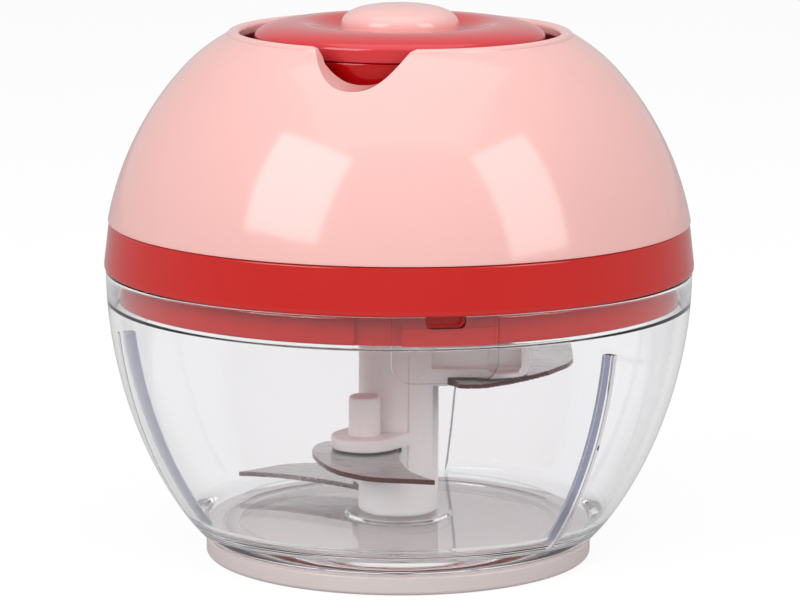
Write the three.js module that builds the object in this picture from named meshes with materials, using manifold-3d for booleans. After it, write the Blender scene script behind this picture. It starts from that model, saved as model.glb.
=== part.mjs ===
import * as THREE from 'three';
import { mergeVertices } from 'three/addons/utils/BufferGeometryUtils.js';
import Module from 'manifold-3d';

const wasm = await Module();
wasm.setup();

// Hand-pulled garlic chopper. Sizes are in millimetres and angles in degrees, with +Z up.
// The origin is under the middle of the foot, and the front, with the finger notch, faces -Y.

// Clearances and cuts
const seatGap = 0.3;
const turnGap = 0.4;
const overrun = 1;
const weldDistance = 0.0001;
const bigSides = 32;
const midSides = 24;
const smallSides = 16;
const pinSides = 10;
const arcSteps = 4;
const outlineStepPower = 1.5;

// Foot pad
const footRadius = 39.5;
const footHeight = 3.8;
const footFloor = 1.8;
const footRimWidth = 3.5;
const footRound = 0.9;

// Bowl
const bowlHeight = 55.4;
const bowlRimRadius = 59.7;
const bowlBaseInset = 0.1;
const bowlSwellPower = 0.83;
const bowlWall = 2.4;
const bowlSeatWall = 2.2;
const bowlFloor = 4.3;
const bowlFlatInset = 2.9;
const bowlFloorRise = 2.6;
const bowlFootRingWidth = 3;
const bowlCornerShare = 0.6;
const bossRadius = 11;
const bossRise = 0.6;
const ribCount = 3;
const ribDepth = 2.2;
const ribThickness = 1.8;
const ribTopDrop = 10.7;
const ribAngle = -43.5;

// Pivot pin in the bowl's floor
const pivotRadius = 2;
const pivotHeight = 13;
const pivotRoot = 1.9;

// Three lock stations around the rim
const stationCount = 3;
const notchAngle = -81.3;
const notchWidth = 7.8;
const notchDepth = 2.3;
const panelWidth = 20.8;
const panelHeight = 13;
const panelDepth = 0.4;
const panelCorner = 4;
const tabAngles = [-89.5, -70.7];
const tabHeight = 3.4;
const tabRise = 0.5;
const channelAngles = [-98.5, -89.5];
const channelDepth = 0.8;

// Lid base
const bandOverhang = 0.3;
const bandTaper = 1;
const bandHeight = 9.3;
const bandWall = 2.6;
const bandChamfer = 1;
const lidFloor = 2.2;
const skirtDepth = 6.2;
const skirtWall = 2;
const thrustRadius = 9;
const thrustHeight = 2.3;
const sleeveWall = 1.7;

// Dome cover
const domeOverhang = 0.2;
const domeRise = 61.8;
const domeCentreDrop = 11.5;
const domeWall = 2.5;
const domeMouthRadius = 32.4;
const domeLipWidth = 2.5;
const domeLipCrown = 0.85;
const domeShoulderStart = 11.1;
const domeShoulderDrop = 1.1;
const domeShoulderPower = 1.5;
const domePlugDepth = 2.5;
const domePlugWall = 1.6;
const fingerAngle = -102.6;
const fingerWidth = 19.4;
const fingerDepth = 7.25;
const fingerFlarePower = 0.41;
const hoodWall = 2.2;
const hoodSetback = 0.5;

// Mechanism housing, the collar under the handle
const seatDrop = 2.65;
const collarInset = 0.2;
const collarEdge = 0.7;
const neckInset = 1.9;
const waistInset = 2.8;
const housingRoom = 13.6;
const housingWall = 2.2;
const waistDrop = 13.7;
const shoulderDrop = 23.7;
const housingRecessRadius = 7.6;
const housingRecessDepth = 3.9;
const earStandOff = 4;
const earRadius = 3.5;
const earThickness = 2;
const earRise = 6;

// Cord, spool and return spring
const cordRadius = 0.9;
const cordPitch = 2.3;
const cordTurns = 3.5;
const cordSides = 6;
const cordStepsPerTurn = 24;
const cordExitAngle = 100;
const drumRadius = 17;
const drumWall = 2;
const spoolFlange = 1.4;
const spoolFlangeLip = 0.4;
const webThickness = 1.6;
const guideInset = 4.6;
const guideBend = 6.6;
const topBendDrop = 4.35;
const topBend = 2.9;
const guideRingRadius = 2.2;
const guideRodRadius = 0.7;
const eyeletFlange = 4.6;
const eyeletFlangeHeight = 0.7;
const eyeletWall = 1.2;
const springTurns = 3.5;
const springThickness = 0.5;
const springCoverThickness = 1.2;

// One-way clutch
const ratchetTeeth = 8;
const ratchetInset = 1;
const ratchetWall = 1.6;
const toothDepth = 1.2;
const ratchetHeight = 3;
const toothBackShare = 0.98;
const pawlCount = 3;
const plateThickness = 1.8;
const plateHubRadius = 7.5;
const pawlWidth = 1.5;
const pawlSpan = 75;
const washerRadius = 8.4;
const washerThickness = 0.6;

// Drive coupler
const shaftRadius = 4.4;
const keyWidth = 5;
const couplerFlangeRadius = 7;
const couplerFlangeHeight = 1.8;
const driveAcrossFlats = 9;
const driveLength = 6.3;
const driveGap = 0.4;
const driveNoseInset = 0.9;
const couplerScrewReach = 12;
const couplerHeadRadius = 4.2;
const couplerHeadRound = 0.6;

// Blade post
const postRadius = 8.2;
const postFootRound = 1;
const lugRadius = 6.8;
const lugReach = 11.7;
const lugThickness = 2.6;
const pegRadius = 3.22;
const pegHeight = 7.9;
const pegRound = 0.7;
const bladeThickness = 1;
const lowerLugAngle = 104;
const middleLugAngle = -126;
const armAngle = -3;
const lowerBladeZ = 11.4;
const middleBladeZ = 22.8;
const upperBladeZ = 36.4;
const bladeSweepPast = 2.6;
const upperBladeClear = 2.9;
const armSetback = 6.9;
const armHeight = 7.1;
const armRootReach = 12.3;
const armRootWidth = 13;
const armRootDrop = 0.2;
const pocketRail = 1.8;
const pocketHeight = 3.7;
const innerPocketReaches = [7, 18.4];
const innerPocketDepth = 2;
const outerPocketReaches = [18.2, 25.2];
const outerPocketDepth = 4.4;

// The outline of the lower and middle blades, drawn in the lug's frame as shares of the reach:
// outward, then sideways
const bladeOutlineShares = [
  [0.10, -0.06], [0.30, -0.29], [0.36, -0.33], [0.45, -0.325], [0.56, -0.275], [0.604, -0.247],
  [0.696, -0.169], [0.827, -0.021], [0.941, 0.144], [0.995, 0.264], [1.015, 0.357], [1.023, 0.441],
  [1.019, 0.516], [1.004, 0.583], [0.978, 0.641], [0.951, 0.699], [0.913, 0.765], [0.885, 0.83],
  [0.855, 0.90], [0.83, 0.81], [0.79, 0.72], [0.738, 0.621], [0.650, 0.519], [0.526, 0.390],
  [0.340, 0.238], [0.10, 0.10],
];

// The outline of the upper blade, drawn in the arm's frame as shares of its reach
const upperOutlineShares = [
  [0.104, -0.060], [0.268, -0.134], [0.345, -0.223], [0.378, -0.293], [0.434, -0.308], [0.503, -0.306],
  [0.559, -0.286], [0.619, -0.235], [0.681, -0.184], [0.735, -0.119], [0.794, -0.054], [0.857, 0.030],
  [0.913, 0.113], [0.973, 0.244], [1.032, 0.360], [1.065, 0.509], [1.059, 0.783], [1.044, 0.982],
  [1.000, 1.071], [0.937, 0.997], [0.833, 0.803], [0.699, 0.610], [0.536, 0.417], [0.357, 0.268],
  [0.104, 0.104],
];

// Handle, cap and knot
const handleMouthGap = 3;
const handleSide = 2.05;
const crestInset = 8.9;
const crestHeight = 4.9;
const handleWall = 2.2;
const handleRimWidth = 2.6;
const hubRadius = 7;
const hubDrop = 3.6;
const capRadius = 11.9;
const capSideHeight = 1.7;
const capHeight = 6.1;
const capFullness = 2.5;
const capWall = 1.7;
const capRecess = 2.1;
const capSteps = 5;
const knotRadius = 2;
const knotWasherRadius = 4.2;
const knotWasherThickness = 0.6;
const knotPocketRadius = 4.8;

// Screws: a pan head on a plain shank, in the place of the thread
const screwHeadRadius = 2.4;
const screwHeadHeight = 1.4;
const screwShankRadius = 1.2;
const screwBite = 5;
const screwBossRadius = 4.2;
const domeScrewInset = 11;
const domeScrewAngle = 30;
const domeScrewCount = 3;
const domeScrewRise = 3.2;
const housingScrewCount = 4;
const housingScrewAngle = 15;
const clampBossRadius = 3.2;

// Radii that follow the foot, the bowl's rim, the cord's drum and the dome's mouth
const bowlBaseRadius = footRadius - bowlBaseInset;
const bowlFlatRadius = bowlBaseRadius - bowlFlatInset;
const bandRadius = bowlRimRadius + bandOverhang;
const bandTopRadius = bandRadius - bandTaper;
const domeFootRadius = bandTopRadius + domeOverhang;
const domeScrewReach = bandTopRadius - domeScrewInset;
const housingRadius = drumRadius + housingRoom;
const ratchetOuter = drumRadius - ratchetInset;
const ratchetRoot = ratchetOuter - ratchetWall;
const ratchetTip = ratchetRoot - toothDepth;
const bladeReach = (bowlFlatRadius + bladeSweepPast) / sweepShare(bladeOutlineShares);
const handleRadius = domeMouthRadius - handleMouthGap;
const crestRadius = handleRadius - crestInset;
const collarRadius = handleRadius - collarInset;
const neckRadius = handleRadius - neckInset;
const waistRadius = handleRadius - waistInset;
const earReach = housingRadius + earStandOff;
const guideReach = housingRadius - guideInset;

// Levels, from the foot up
const bowlBaseZ = footHeight + seatGap;
const bowlFloorZ = bowlBaseZ + bowlFloor;
const bowlRimZ = bowlBaseZ + bowlHeight;
const bossZ = bowlFloorZ + bossRise;
const bandBottomZ = bowlRimZ + seatGap;
const lidFloorZ = bandBottomZ + lidFloor;
const bandTopZ = bandBottomZ + bandHeight;
const skirtBottomZ = bandBottomZ - skirtDepth;
const domeBottomZ = bandTopZ + seatGap;
const domeCentreZ = bandTopZ - domeCentreDrop;
const domeFootShare = (domeBottomZ - domeCentreZ) / domeRise;
const domeRadius = domeFootRadius / Math.sqrt(1 - domeFootShare ** 2);
const domeLipRadius = domeMouthRadius + domeLipWidth;
const domeShoulderRadius = domeMouthRadius + domeShoulderStart;
const domeLipZ = domeCentreZ - domeShoulderDrop
  + domeRise * Math.sqrt(1 - (domeLipRadius / domeRadius) ** 2);
const seatTopZ = domeLipZ - seatDrop;
const thrustZ = lidFloorZ + thrustHeight;
const spoolBottomZ = thrustZ + seatGap;
const windingBottomZ = spoolBottomZ + spoolFlange;
const windingSpace = cordTurns * cordPitch + 2 * cordRadius + 3 * seatGap;
const webZ = windingBottomZ + windingSpace;
const webTopZ = webZ + webThickness;
const sleeveTopZ = webTopZ - seatGap;
const washerZ = webTopZ + seatGap;
const plateZ = washerZ + washerThickness + seatGap;
const plateTopZ = plateZ + plateThickness;
const cordExitZ = webZ - seatGap - cordRadius;
const postTopZ = bandBottomZ - couplerFlangeHeight - 3 * seatGap;
const postBottomZ = bossZ + seatGap;
const handleBottomZ = seatTopZ + seatGap;
const recessFloorZ = seatTopZ - housingRecessDepth;
const earZ = lidFloorZ + earRise;
const sleeveBore = shaftRadius + turnGap;
const sleeveRadius = sleeveBore + sleeveWall;
const bowlSeatRadius = bowlRimRadius - bowlSeatWall;
const skirtTabRadius = bowlSeatRadius - turnGap;
const skirtRadius = skirtTabRadius - tabRise;
const upperSweep = bowlOuter(upperBladeZ) - bowlWall - ribDepth - upperBladeClear;
const upperBladeReach = upperSweep / sweepShare(upperOutlineShares);
const armReach = upperBladeReach - armSetback;

const radians = THREE.MathUtils.degToRad;

// The farthest that an outline reaches from the axis, as a share of its blade's reach
function sweepShare(outline) {
  return Math.max(...outline.map(([u, v]) => Math.hypot(u, v)));
}

// Turn a geometry into one closed mesh whose faces point out
function closedGeometry(geometry) {
  const bare = geometry.clone();
  bare.deleteAttribute('normal');
  bare.deleteAttribute('uv');
  const merged = mergeVertices(bare, weldDistance);
  const corners = merged.index.array;
  const kept = [];
  for (let i = 0; i < corners.length; i += 3) {
    const [a, b, c] = corners.slice(i, i + 3);
    if (a !== b && b !== c && c !== a) kept.push(a, b, c);
  }
  const place = merged.attributes.position;
  const [p, q, r] = [new THREE.Vector3(), new THREE.Vector3(), new THREE.Vector3()];
  let volume = 0;
  for (let i = 0; i < kept.length; i += 3) {
    p.fromBufferAttribute(place, kept[i]);
    q.fromBufferAttribute(place, kept[i + 1]);
    r.fromBufferAttribute(place, kept[i + 2]);
    volume += p.dot(q.cross(r));
  }
  if (volume < 0) kept.reverse();
  merged.setIndex(kept);
  return merged;
}

function toSolid(geometry) {
  const closed = closedGeometry(geometry);
  return new wasm.Manifold(new wasm.Mesh({
    numProp: 3,
    vertProperties: new Float32Array(closed.attributes.position.array),
    triVerts: new Uint32Array(closed.index.array),
  }));
}

function toGeometry(solid) {
  const mesh = solid.getMesh();
  const geometry = new THREE.BufferGeometry();
  geometry.setAttribute('position', new THREE.BufferAttribute(mesh.vertProperties, 3));
  geometry.setIndex(new THREE.BufferAttribute(mesh.triVerts, 1));
  return geometry;
}

// Join and cut geometries into one
function carve(base, { add = [], cut = [] }) {
  let solid = toSolid(base);
  for (const piece of add) solid = solid.add(toSolid(piece));
  for (const piece of cut) solid = solid.subtract(toSolid(piece));
  return toGeometry(solid);
}

// Revolve [radius, height] points about +Z. Points that don't both end on the axis close into a ring.
function turned(points, sides) {
  const outline = points.map(([radius, height]) => new THREE.Vector2(radius, height));
  const onAxis = points[0][0] === 0 && points[points.length - 1][0] === 0;
  if (!onAxis) outline.push(outline[0].clone());
  return closedGeometry(new THREE.LatheGeometry(outline, sides).rotateX(Math.PI / 2));
}

function disc(radius, bottom, top, sides, bore = 0) {
  if (bore === 0) return turned([[0, bottom], [radius, bottom], [radius, top], [0, top]], sides);
  return turned([[bore, bottom], [radius, bottom], [radius, top], [bore, top]], sides);
}

function discAt(reach, angle, radius, bottom, top, sides) {
  const [x, y] = polar(reach, angle);
  return disc(radius, bottom, top, sides).translate(x, y, 0);
}

function polar(reach, angle) {
  return [reach * Math.cos(radians(angle)), reach * Math.sin(radians(angle))];
}

function shapeOf(points) {
  return new THREE.Shape(points.map(([x, y]) => new THREE.Vector2(x, y)));
}

function prism(shape, bottom, top, curveSegments = smallSides) {
  const depth = top - bottom;
  const raised = new THREE.ExtrudeGeometry(shape, { depth, bevelEnabled: false, curveSegments });
  return raised.translate(0, 0, bottom);
}

// Extrude an outline drawn as [sideways, height] outward along a radius, from one reach to another
function radialPrism(shape, inner, outer, angle, curveSegments = smallSides) {
  const block = prism(shape, inner, outer, curveSegments);
  block.rotateX(Math.PI / 2).rotateZ(Math.PI / 2);
  return block.rotateZ(radians(angle));
}

// Extrude an outline drawn as [radius, height] by a thickness across its radius
function ribPrism(shape, thickness, angle) {
  const block = prism(shape, -thickness / 2, thickness / 2);
  return block.rotateX(Math.PI / 2).rotateZ(radians(angle));
}

function sector(inner, outer, [from, to], bottom, top) {
  const shape = new THREE.Shape();
  shape.absarc(0, 0, outer, radians(from), radians(to), false);
  shape.absarc(0, 0, inner, radians(to), radians(from), true);
  return prism(shape, bottom, top, arcSteps);
}

function regular(sides, acrossFlats) {
  const corner = acrossFlats / 2 / Math.cos(Math.PI / sides);
  const points = [];
  for (let i = 0; i < sides; i += 1) points.push(polar(corner, (i * 360) / sides));
  return shapeOf(points);
}

const part = new THREE.Group();

function place(name, geometry, material) {
  const mesh = new THREE.Mesh(closedGeometry(geometry), material);
  mesh.name = name;
  part.add(mesh);
}

function finish(color, roughness, metalness = 0, opacity = 1) {
  return () => new THREE.MeshStandardMaterial({
    color, roughness, metalness, opacity, transparent: opacity < 1,
  });
}

const clearPlastic = finish(0xe9ecef, 0.06, 0, 0.3);
const paleRubber = finish(0xd8cccb, 0.45);
const paleNylon = finish(0xdcd2d0, 0.35);
const redPlastic = finish(0xcc2b2c, 0.25);
const handleRed = finish(0xd8434b, 0.22);
const pinkPlastic = finish(0xfac8c3, 0.25);
const bladeSteel = finish(0xa9aaac, 0.3, 1);
const plainSteel = finish(0xc2c4c6, 0.35, 1);
const springSteel = finish(0x8d8f92, 0.4, 1);
const cordWhite = finish(0xe8e6e0, 0.9);
const blackNylon = finish(0x2b2b2d, 0.5);
const whiteAcetal = finish(0xf0efec, 0.4);

// Outer radius of the bowl at a height: a steep swell off the foot that ends upright at the rim
function bowlOuter(z) {
  const share = THREE.MathUtils.clamp((z - bowlBaseZ) / bowlHeight, 0, 1);
  return bowlBaseRadius + (bowlRimRadius - bowlBaseRadius) * (1 - (1 - share) ** 2) ** bowlSwellPower;
}

// Outer half of the bowl's section, with closer steps where it swells most
function bowlOutline(inset, from, to, steps) {
  const points = [];
  for (let i = 0; i <= steps; i += 1) {
    const z = from + (to - from) * (i / steps) ** outlineStepPower;
    points.push([bowlOuter(z) - inset, z]);
  }
  return points;
}

function footPad() {
  const inner = footRadius - footRimWidth;
  const edge = [];
  for (let i = 0; i <= 3; i += 1) {
    const turn = radians(30 * i);
    edge.push([
      footRadius - footRound + footRound * Math.sin(turn),
      footRound - footRound * Math.cos(turn),
    ]);
  }
  const soften = footRound / 3;
  return turned([
    [0, 0], ...edge,
    [footRadius, footHeight - soften], [footRadius - soften, footHeight],
    [inner, footHeight], [inner, footFloor], [0, footFloor],
  ], bigSides);
}

function stationAngle(i) {
  return (i * 360) / stationCount;
}

// The rim notch, open at the top, with a round-cornered bottom
function notchShape() {
  const half = notchWidth / 2;
  const corner = notchDepth / 2;
  const bottom = bowlRimZ - notchDepth;
  const top = bowlRimZ + overrun;
  const shape = new THREE.Shape();
  shape.moveTo(half, top);
  shape.lineTo(-half, top);
  shape.lineTo(-half, bottom + corner);
  shape.absarc(-half + corner, bottom + corner, corner, Math.PI, 1.5 * Math.PI, false);
  shape.absarc(half - corner, bottom + corner, corner, 1.5 * Math.PI, 2 * Math.PI, false);
  shape.lineTo(half, top);
  return shape;
}

// The shallow panel under the notch, round at its two bottom corners
function panelShape() {
  const half = panelWidth / 2;
  const bottom = bowlRimZ - panelHeight;
  const top = bowlRimZ + overrun;
  const shape = new THREE.Shape();
  shape.moveTo(half, top);
  shape.lineTo(-half, top);
  shape.lineTo(-half, bottom + panelCorner);
  shape.absarc(-half + panelCorner, bottom + panelCorner, panelCorner, Math.PI, 1.5 * Math.PI, false);
  shape.absarc(half - panelCorner, bottom + panelCorner, panelCorner, 1.5 * Math.PI, 2 * Math.PI, false);
  shape.lineTo(half, top);
  return shape;
}

function ribShape() {
  const top = bowlRimZ - ribTopDrop;
  const bottom = bowlFloorZ - bowlFloor / 3;
  const steps = 6;
  const inside = bowlOutline(bowlWall + ribDepth, bottom, top, steps);
  const outside = bowlOutline(bowlWall / 2, bottom, top, steps).reverse();
  return shapeOf([...inside, ...outside]);
}

function bowl() {
  const ringOuter = footRadius - footRimWidth - seatGap;
  const ringInner = ringOuter - bowlFootRingWidth;
  const ledgeZ = skirtBottomZ - turnGap;
  const wallStart = bowlFloorZ + bowlFloorRise;
  const outside = bowlOutline(0, bowlBaseZ, bowlRimZ, 8);
  const inside = bowlOutline(bowlWall, wallStart, ledgeZ, 6).reverse();
  const cornerIn = (bowlOuter(wallStart) - bowlWall - bowlFlatRadius) * bowlCornerShare;
  const shell = turned([
    [0, bowlBaseZ], [ringInner, bowlBaseZ], [ringInner, footFloor + seatGap],
    [ringOuter, footFloor + seatGap], [ringOuter, bowlBaseZ],
    ...outside,
    [bowlSeatRadius, bowlRimZ], [bowlSeatRadius, ledgeZ],
    ...inside,
    [bowlFlatRadius + cornerIn, bowlFloorZ + bowlFloorRise / 3], [bowlFlatRadius, bowlFloorZ],
    [bossRadius, bowlFloorZ], [bossRadius - bossRise, bossZ], [0, bossZ],
  ], bigSides);
  const skin = turned([
    [0, bowlBaseZ - overrun],
    ...bowlOutline(panelDepth, bowlBaseZ, bowlRimZ, 8),
    [bowlRimRadius - panelDepth, bowlRimZ + 2 * overrun], [0, bowlRimZ + 2 * overrun],
  ], bigSides);
  const ribs = [];
  for (let i = 0; i < ribCount; i += 1) {
    ribs.push(ribPrism(ribShape(), ribThickness, ribAngle + (i * 360) / ribCount));
  }
  const cuts = [disc(pivotRadius + seatGap, bossZ - pivotRoot - seatGap, bossZ + overrun, pinSides)];
  const inner = bowlSeatRadius - overrun;
  const outer = bowlRimRadius + overrun;
  for (let i = 0; i < stationCount; i += 1) {
    const angle = notchAngle + stationAngle(i);
    cuts.push(radialPrism(notchShape(), inner, outer, angle, 3));
    const panel = radialPrism(panelShape(), inner, outer, angle, 4);
    cuts.push(toGeometry(toSolid(panel).subtract(toSolid(skin))));
  }
  return carve(shell, { add: ribs, cut: cuts });
}

function pivotPin() {
  const bottom = bossZ - pivotRoot;
  const top = bottom + pivotHeight;
  const round = pivotRadius / 3;
  return turned([
    [0, bottom], [pivotRadius, bottom], [pivotRadius, top - round], [pivotRadius - round, top], [0, top],
  ], pinSides);
}

function bladePoints(shares, reach) {
  return shares.map(([u, v]) => [u * reach, v * reach]);
}

// Move an outline's edges outward by a distance
function grown(points, distance) {
  return points.map((point, i) => {
    const before = points[(i + points.length - 1) % points.length];
    const after = points[(i + 1) % points.length];
    const [a, b] = [outward(before, point), outward(point, after)];
    const spread = distance / (1 + a[0] * b[0] + a[1] * b[1]);
    return [point[0] + (a[0] + b[0]) * spread, point[1] + (a[1] + b[1]) * spread];
  });
}

// The outward normal of one edge of a counter-clockwise outline
function outward(from, to) {
  const length = Math.hypot(to[0] - from[0], to[1] - from[1]);
  return [(to[1] - from[1]) / length, (from[0] - to[0]) / length];
}

function blade(shares, reach, z, angle) {
  return prism(shapeOf(bladePoints(shares, reach)), z, z + bladeThickness).rotateZ(radians(angle));
}

// The pocket that a blade's root lies in, with the seat's gap all round
function bladeSlot(shares, reach, z, angle) {
  const outline = shapeOf(grown(bladePoints(shares, reach), seatGap));
  return prism(outline, z - seatGap, z + bladeThickness + seatGap).rotateZ(radians(angle));
}

// A tongue from the axis to a reach, with a round end
function tongue(reach, radius, angle, bottom, top) {
  const shape = new THREE.Shape();
  shape.moveTo(0, -radius);
  shape.lineTo(reach, -radius);
  shape.absarc(reach, 0, radius, -Math.PI / 2, Math.PI / 2, false);
  shape.lineTo(0, radius);
  return prism(shape, bottom, top, 6).rotateZ(radians(angle));
}

// A recess in the front of the arm, between two reaches
function armPocket([from, to], depth, bottom) {
  const block = new THREE.BoxGeometry(to - from, depth + overrun, pocketHeight);
  block.translate((from + to) / 2, (depth - overrun) / 2 - lugRadius, bottom + pocketHeight / 2);
  return block.rotateZ(radians(armAngle));
}

function bladePost() {
  const pinTop = bossZ - pivotRoot + pivotHeight;
  const socketBottom = postTopZ - driveLength;
  const post = turned([
    [0, postBottomZ], [postRadius - postFootRound, postBottomZ], [postRadius, postBottomZ + postFootRound],
    [postRadius, postTopZ], [0, postTopZ],
  ], midSides);
  const lowerTop = lowerBladeZ + bladeThickness + seatGap;
  const middleTop = middleBladeZ + bladeThickness + seatGap;
  const middleLugTop = middleTop + lugThickness;
  const [pegX, pegY] = polar(lugReach, middleLugAngle);
  const peg = turned([
    [0, middleLugTop - overrun], [pegRadius, middleLugTop - overrun],
    [pegRadius, middleLugTop + pegHeight - pegRound],
    [pegRadius - pegRound, middleLugTop + pegHeight], [0, middleLugTop + pegHeight],
  ], smallSides).translate(pegX, pegY, 0);
  const armBottom = upperBladeZ + bladeThickness + seatGap;
  const rootBottom = upperBladeZ - armRootDrop;
  const rootHeight = armBottom + overrun - rootBottom;
  const root = new THREE.BoxGeometry(armRootReach, armRootWidth, rootHeight)
    .translate(armRootReach / 2, 0, rootBottom + rootHeight / 2).rotateZ(radians(armAngle));
  return carve(post, {
    add: [
      tongue(lugReach, lugRadius, middleLugAngle, middleTop, middleLugTop),
      tongue(lugReach, lugRadius, lowerLugAngle, lowerTop, lowerTop + lugThickness),
      tongue(armReach - lugRadius, lugRadius, armAngle, armBottom, armBottom + armHeight),
      peg, root,
    ],
    cut: [
      bladeSlot(bladeOutlineShares, bladeReach, lowerBladeZ, lowerLugAngle),
      bladeSlot(bladeOutlineShares, bladeReach, middleBladeZ, middleLugAngle),
      bladeSlot(upperOutlineShares, upperBladeReach, upperBladeZ, armAngle),
      armPocket(innerPocketReaches, innerPocketDepth, armBottom + pocketRail),
      armPocket(outerPocketReaches, outerPocketDepth, armBottom + pocketRail),
      disc(pivotRadius + turnGap, postBottomZ - overrun, pinTop + seatGap, pinSides),
      prism(regular(6, driveAcrossFlats + 2 * driveGap), socketBottom, postTopZ + overrun),
    ],
  });
}

function screwBoss(reach, angle, radius, bottom, top) {
  return discAt(reach, angle, radius, bottom, top, smallSides);
}

function lidBase() {
  const innerTop = bandTopRadius - bandWall;
  const body = turned([
    [sleeveBore, bandBottomZ], [skirtRadius - skirtWall, bandBottomZ],
    [skirtRadius - skirtWall, skirtBottomZ], [skirtRadius, skirtBottomZ], [skirtRadius, bandBottomZ],
    [bandRadius, bandBottomZ], [bandRadius, bandBottomZ + bandChamfer],
    [bandTopRadius, bandTopZ], [innerTop, bandTopZ], [innerTop, lidFloorZ],
    [thrustRadius, lidFloorZ], [thrustRadius, thrustZ], [sleeveRadius, thrustZ],
    [sleeveRadius, sleeveTopZ], [sleeveBore, sleeveTopZ],
  ], bigSides);
  const inside = lidFloorZ - lidFloor / 2;
  const add = [];
  const cut = [];
  for (let i = 0; i < stationCount; i += 1) {
    const turn = stationAngle(i);
    const tab = tabAngles.map((angle) => angle + turn);
    const channel = channelAngles.map((angle) => angle + turn);
    const tabRoot = skirtRadius - skirtWall / 2;
    const channelRoot = skirtRadius - channelDepth;
    add.push(sector(tabRoot, skirtTabRadius, tab, skirtBottomZ, skirtBottomZ + tabHeight));
    cut.push(sector(channelRoot, bowlSeatRadius, channel, skirtBottomZ - overrun, bandBottomZ));
  }
  const headRoom = bandBottomZ + screwHeadHeight + seatGap;
  for (let i = 0; i < domeScrewCount; i += 1) {
    const angle = domeScrewAngle + (i * 360) / domeScrewCount;
    add.push(screwBoss(domeScrewReach, angle, screwBossRadius, inside, lidFloorZ + domeScrewRise));
    cut.push(discAt(domeScrewReach, angle, screwHeadRadius + seatGap, bandBottomZ - overrun,
      headRoom + seatGap, smallSides));
    cut.push(discAt(domeScrewReach, angle, screwShankRadius + seatGap, bandBottomZ,
      lidFloorZ + domeScrewRise + overrun, pinSides));
  }
  for (let i = 0; i < housingScrewCount; i += 1) {
    const angle = housingScrewAngle + (i * 360) / housingScrewCount;
    const top = earZ - seatGap;
    add.push(screwBoss(earReach, angle, clampBossRadius, inside, top));
    cut.push(discAt(earReach, angle, screwShankRadius + seatGap, top - screwBite - seatGap,
      top + overrun, pinSides));
  }
  return carve(body, { add, cut });
}

// Points along the dome's outer or inner face, from a height up to a radius: part of an ellipse,
// lowered from the shoulder in to the lip
function domeOutline(inset, bottom, mouth, steps) {
  const a = domeRadius - inset;
  const h = domeRise - inset;
  const from = Math.asin((bottom - domeCentreZ) / h);
  const to = Math.acos(mouth / a);
  const points = [];
  for (let i = 0; i <= steps; i += 1) {
    const turn = from + ((to - from) * i) / steps;
    const radius = a * Math.cos(turn);
    const share = Math.max(0, (domeShoulderRadius - radius) / (domeShoulderRadius - domeLipRadius));
    const drop = domeShoulderDrop * Math.min(1, share) ** domeShoulderPower;
    points.push([radius, domeCentreZ + h * Math.sin(turn) - drop]);
  }
  return points;
}

// The finger notch: round at the bottom, flaring toward the dome's mouth
function fingerOutline(topZ) {
  const left = [];
  const steps = 7;
  for (let i = 0; i <= steps; i += 1) {
    const rise = (fingerDepth * i * i) / (steps * steps);
    left.push([-(fingerWidth / 2) * (rise / fingerDepth) ** fingerFlarePower, topZ - fingerDepth + rise]);
  }
  const right = left.slice(1).map(([x, z]) => [-x, z]);
  const over = topZ + overrun;
  const widest = fingerWidth / 2;
  return [...left.reverse(), ...right, [widest + seatGap, over], [-widest - seatGap, over]];
}

function domeCover() {
  const plugOuter = bandTopRadius - bandWall - seatGap;
  const plugInner = plugOuter - domePlugWall;
  const outside = domeOutline(0, domeBottomZ, domeLipRadius, 8);
  const soften = domeLipWidth / 4;
  const meetTurn = Math.acos(plugInner / (domeRadius - domeWall));
  const meetZ = domeCentreZ + (domeRise - domeWall) * Math.sin(meetTurn);
  const inside = domeOutline(domeWall, meetZ, domeMouthRadius, 6).reverse();
  const shell = turned([
    [plugInner, domeBottomZ - domePlugDepth], [plugOuter, domeBottomZ - domePlugDepth],
    [plugOuter, domeBottomZ], ...outside,
    [domeLipRadius - soften, domeLipZ + domeLipCrown], [domeMouthRadius + soften, domeLipZ + domeLipCrown],
    [domeMouthRadius, domeLipZ], ...inside,
  ], bigSides);
  const fill = turned([
    [0, domeBottomZ], ...domeOutline(domeWall / 2, domeBottomZ, domeLipRadius, 8), [0, domeLipZ],
  ], bigSides);
  const bossBottom = lidFloorZ + domeScrewRise + seatGap;
  const notch = fingerOutline(domeLipZ + domeLipCrown);
  const notchStart = domeMouthRadius - 3 * overrun;
  const hoodStart = domeMouthRadius + hoodSetback;
  const hood = radialPrism(shapeOf(grown(notch, hoodWall)), hoodStart, domeRadius, fingerAngle);
  const added = [toGeometry(toSolid(hood).intersect(toSolid(fill)))];
  const cuts = [radialPrism(shapeOf(notch), notchStart, domeRadius, fingerAngle)];
  for (let i = 0; i < domeScrewCount; i += 1) {
    const angle = domeScrewAngle + (i * 360) / domeScrewCount;
    const column = discAt(domeScrewReach, angle, clampBossRadius, domeBottomZ, domeLipZ, smallSides);
    added.push(toGeometry(toSolid(column).intersect(toSolid(fill))));
    const bossTop = domeBottomZ + overrun;
    added.push(discAt(domeScrewReach, angle, clampBossRadius, bossBottom, bossTop, smallSides));
    cuts.push(discAt(domeScrewReach, angle, screwShankRadius + seatGap, bossBottom - overrun,
      bossBottom + screwBite + seatGap, pinSides));
  }
  return carve(shell, { add: added, cut: cuts });
}

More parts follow.
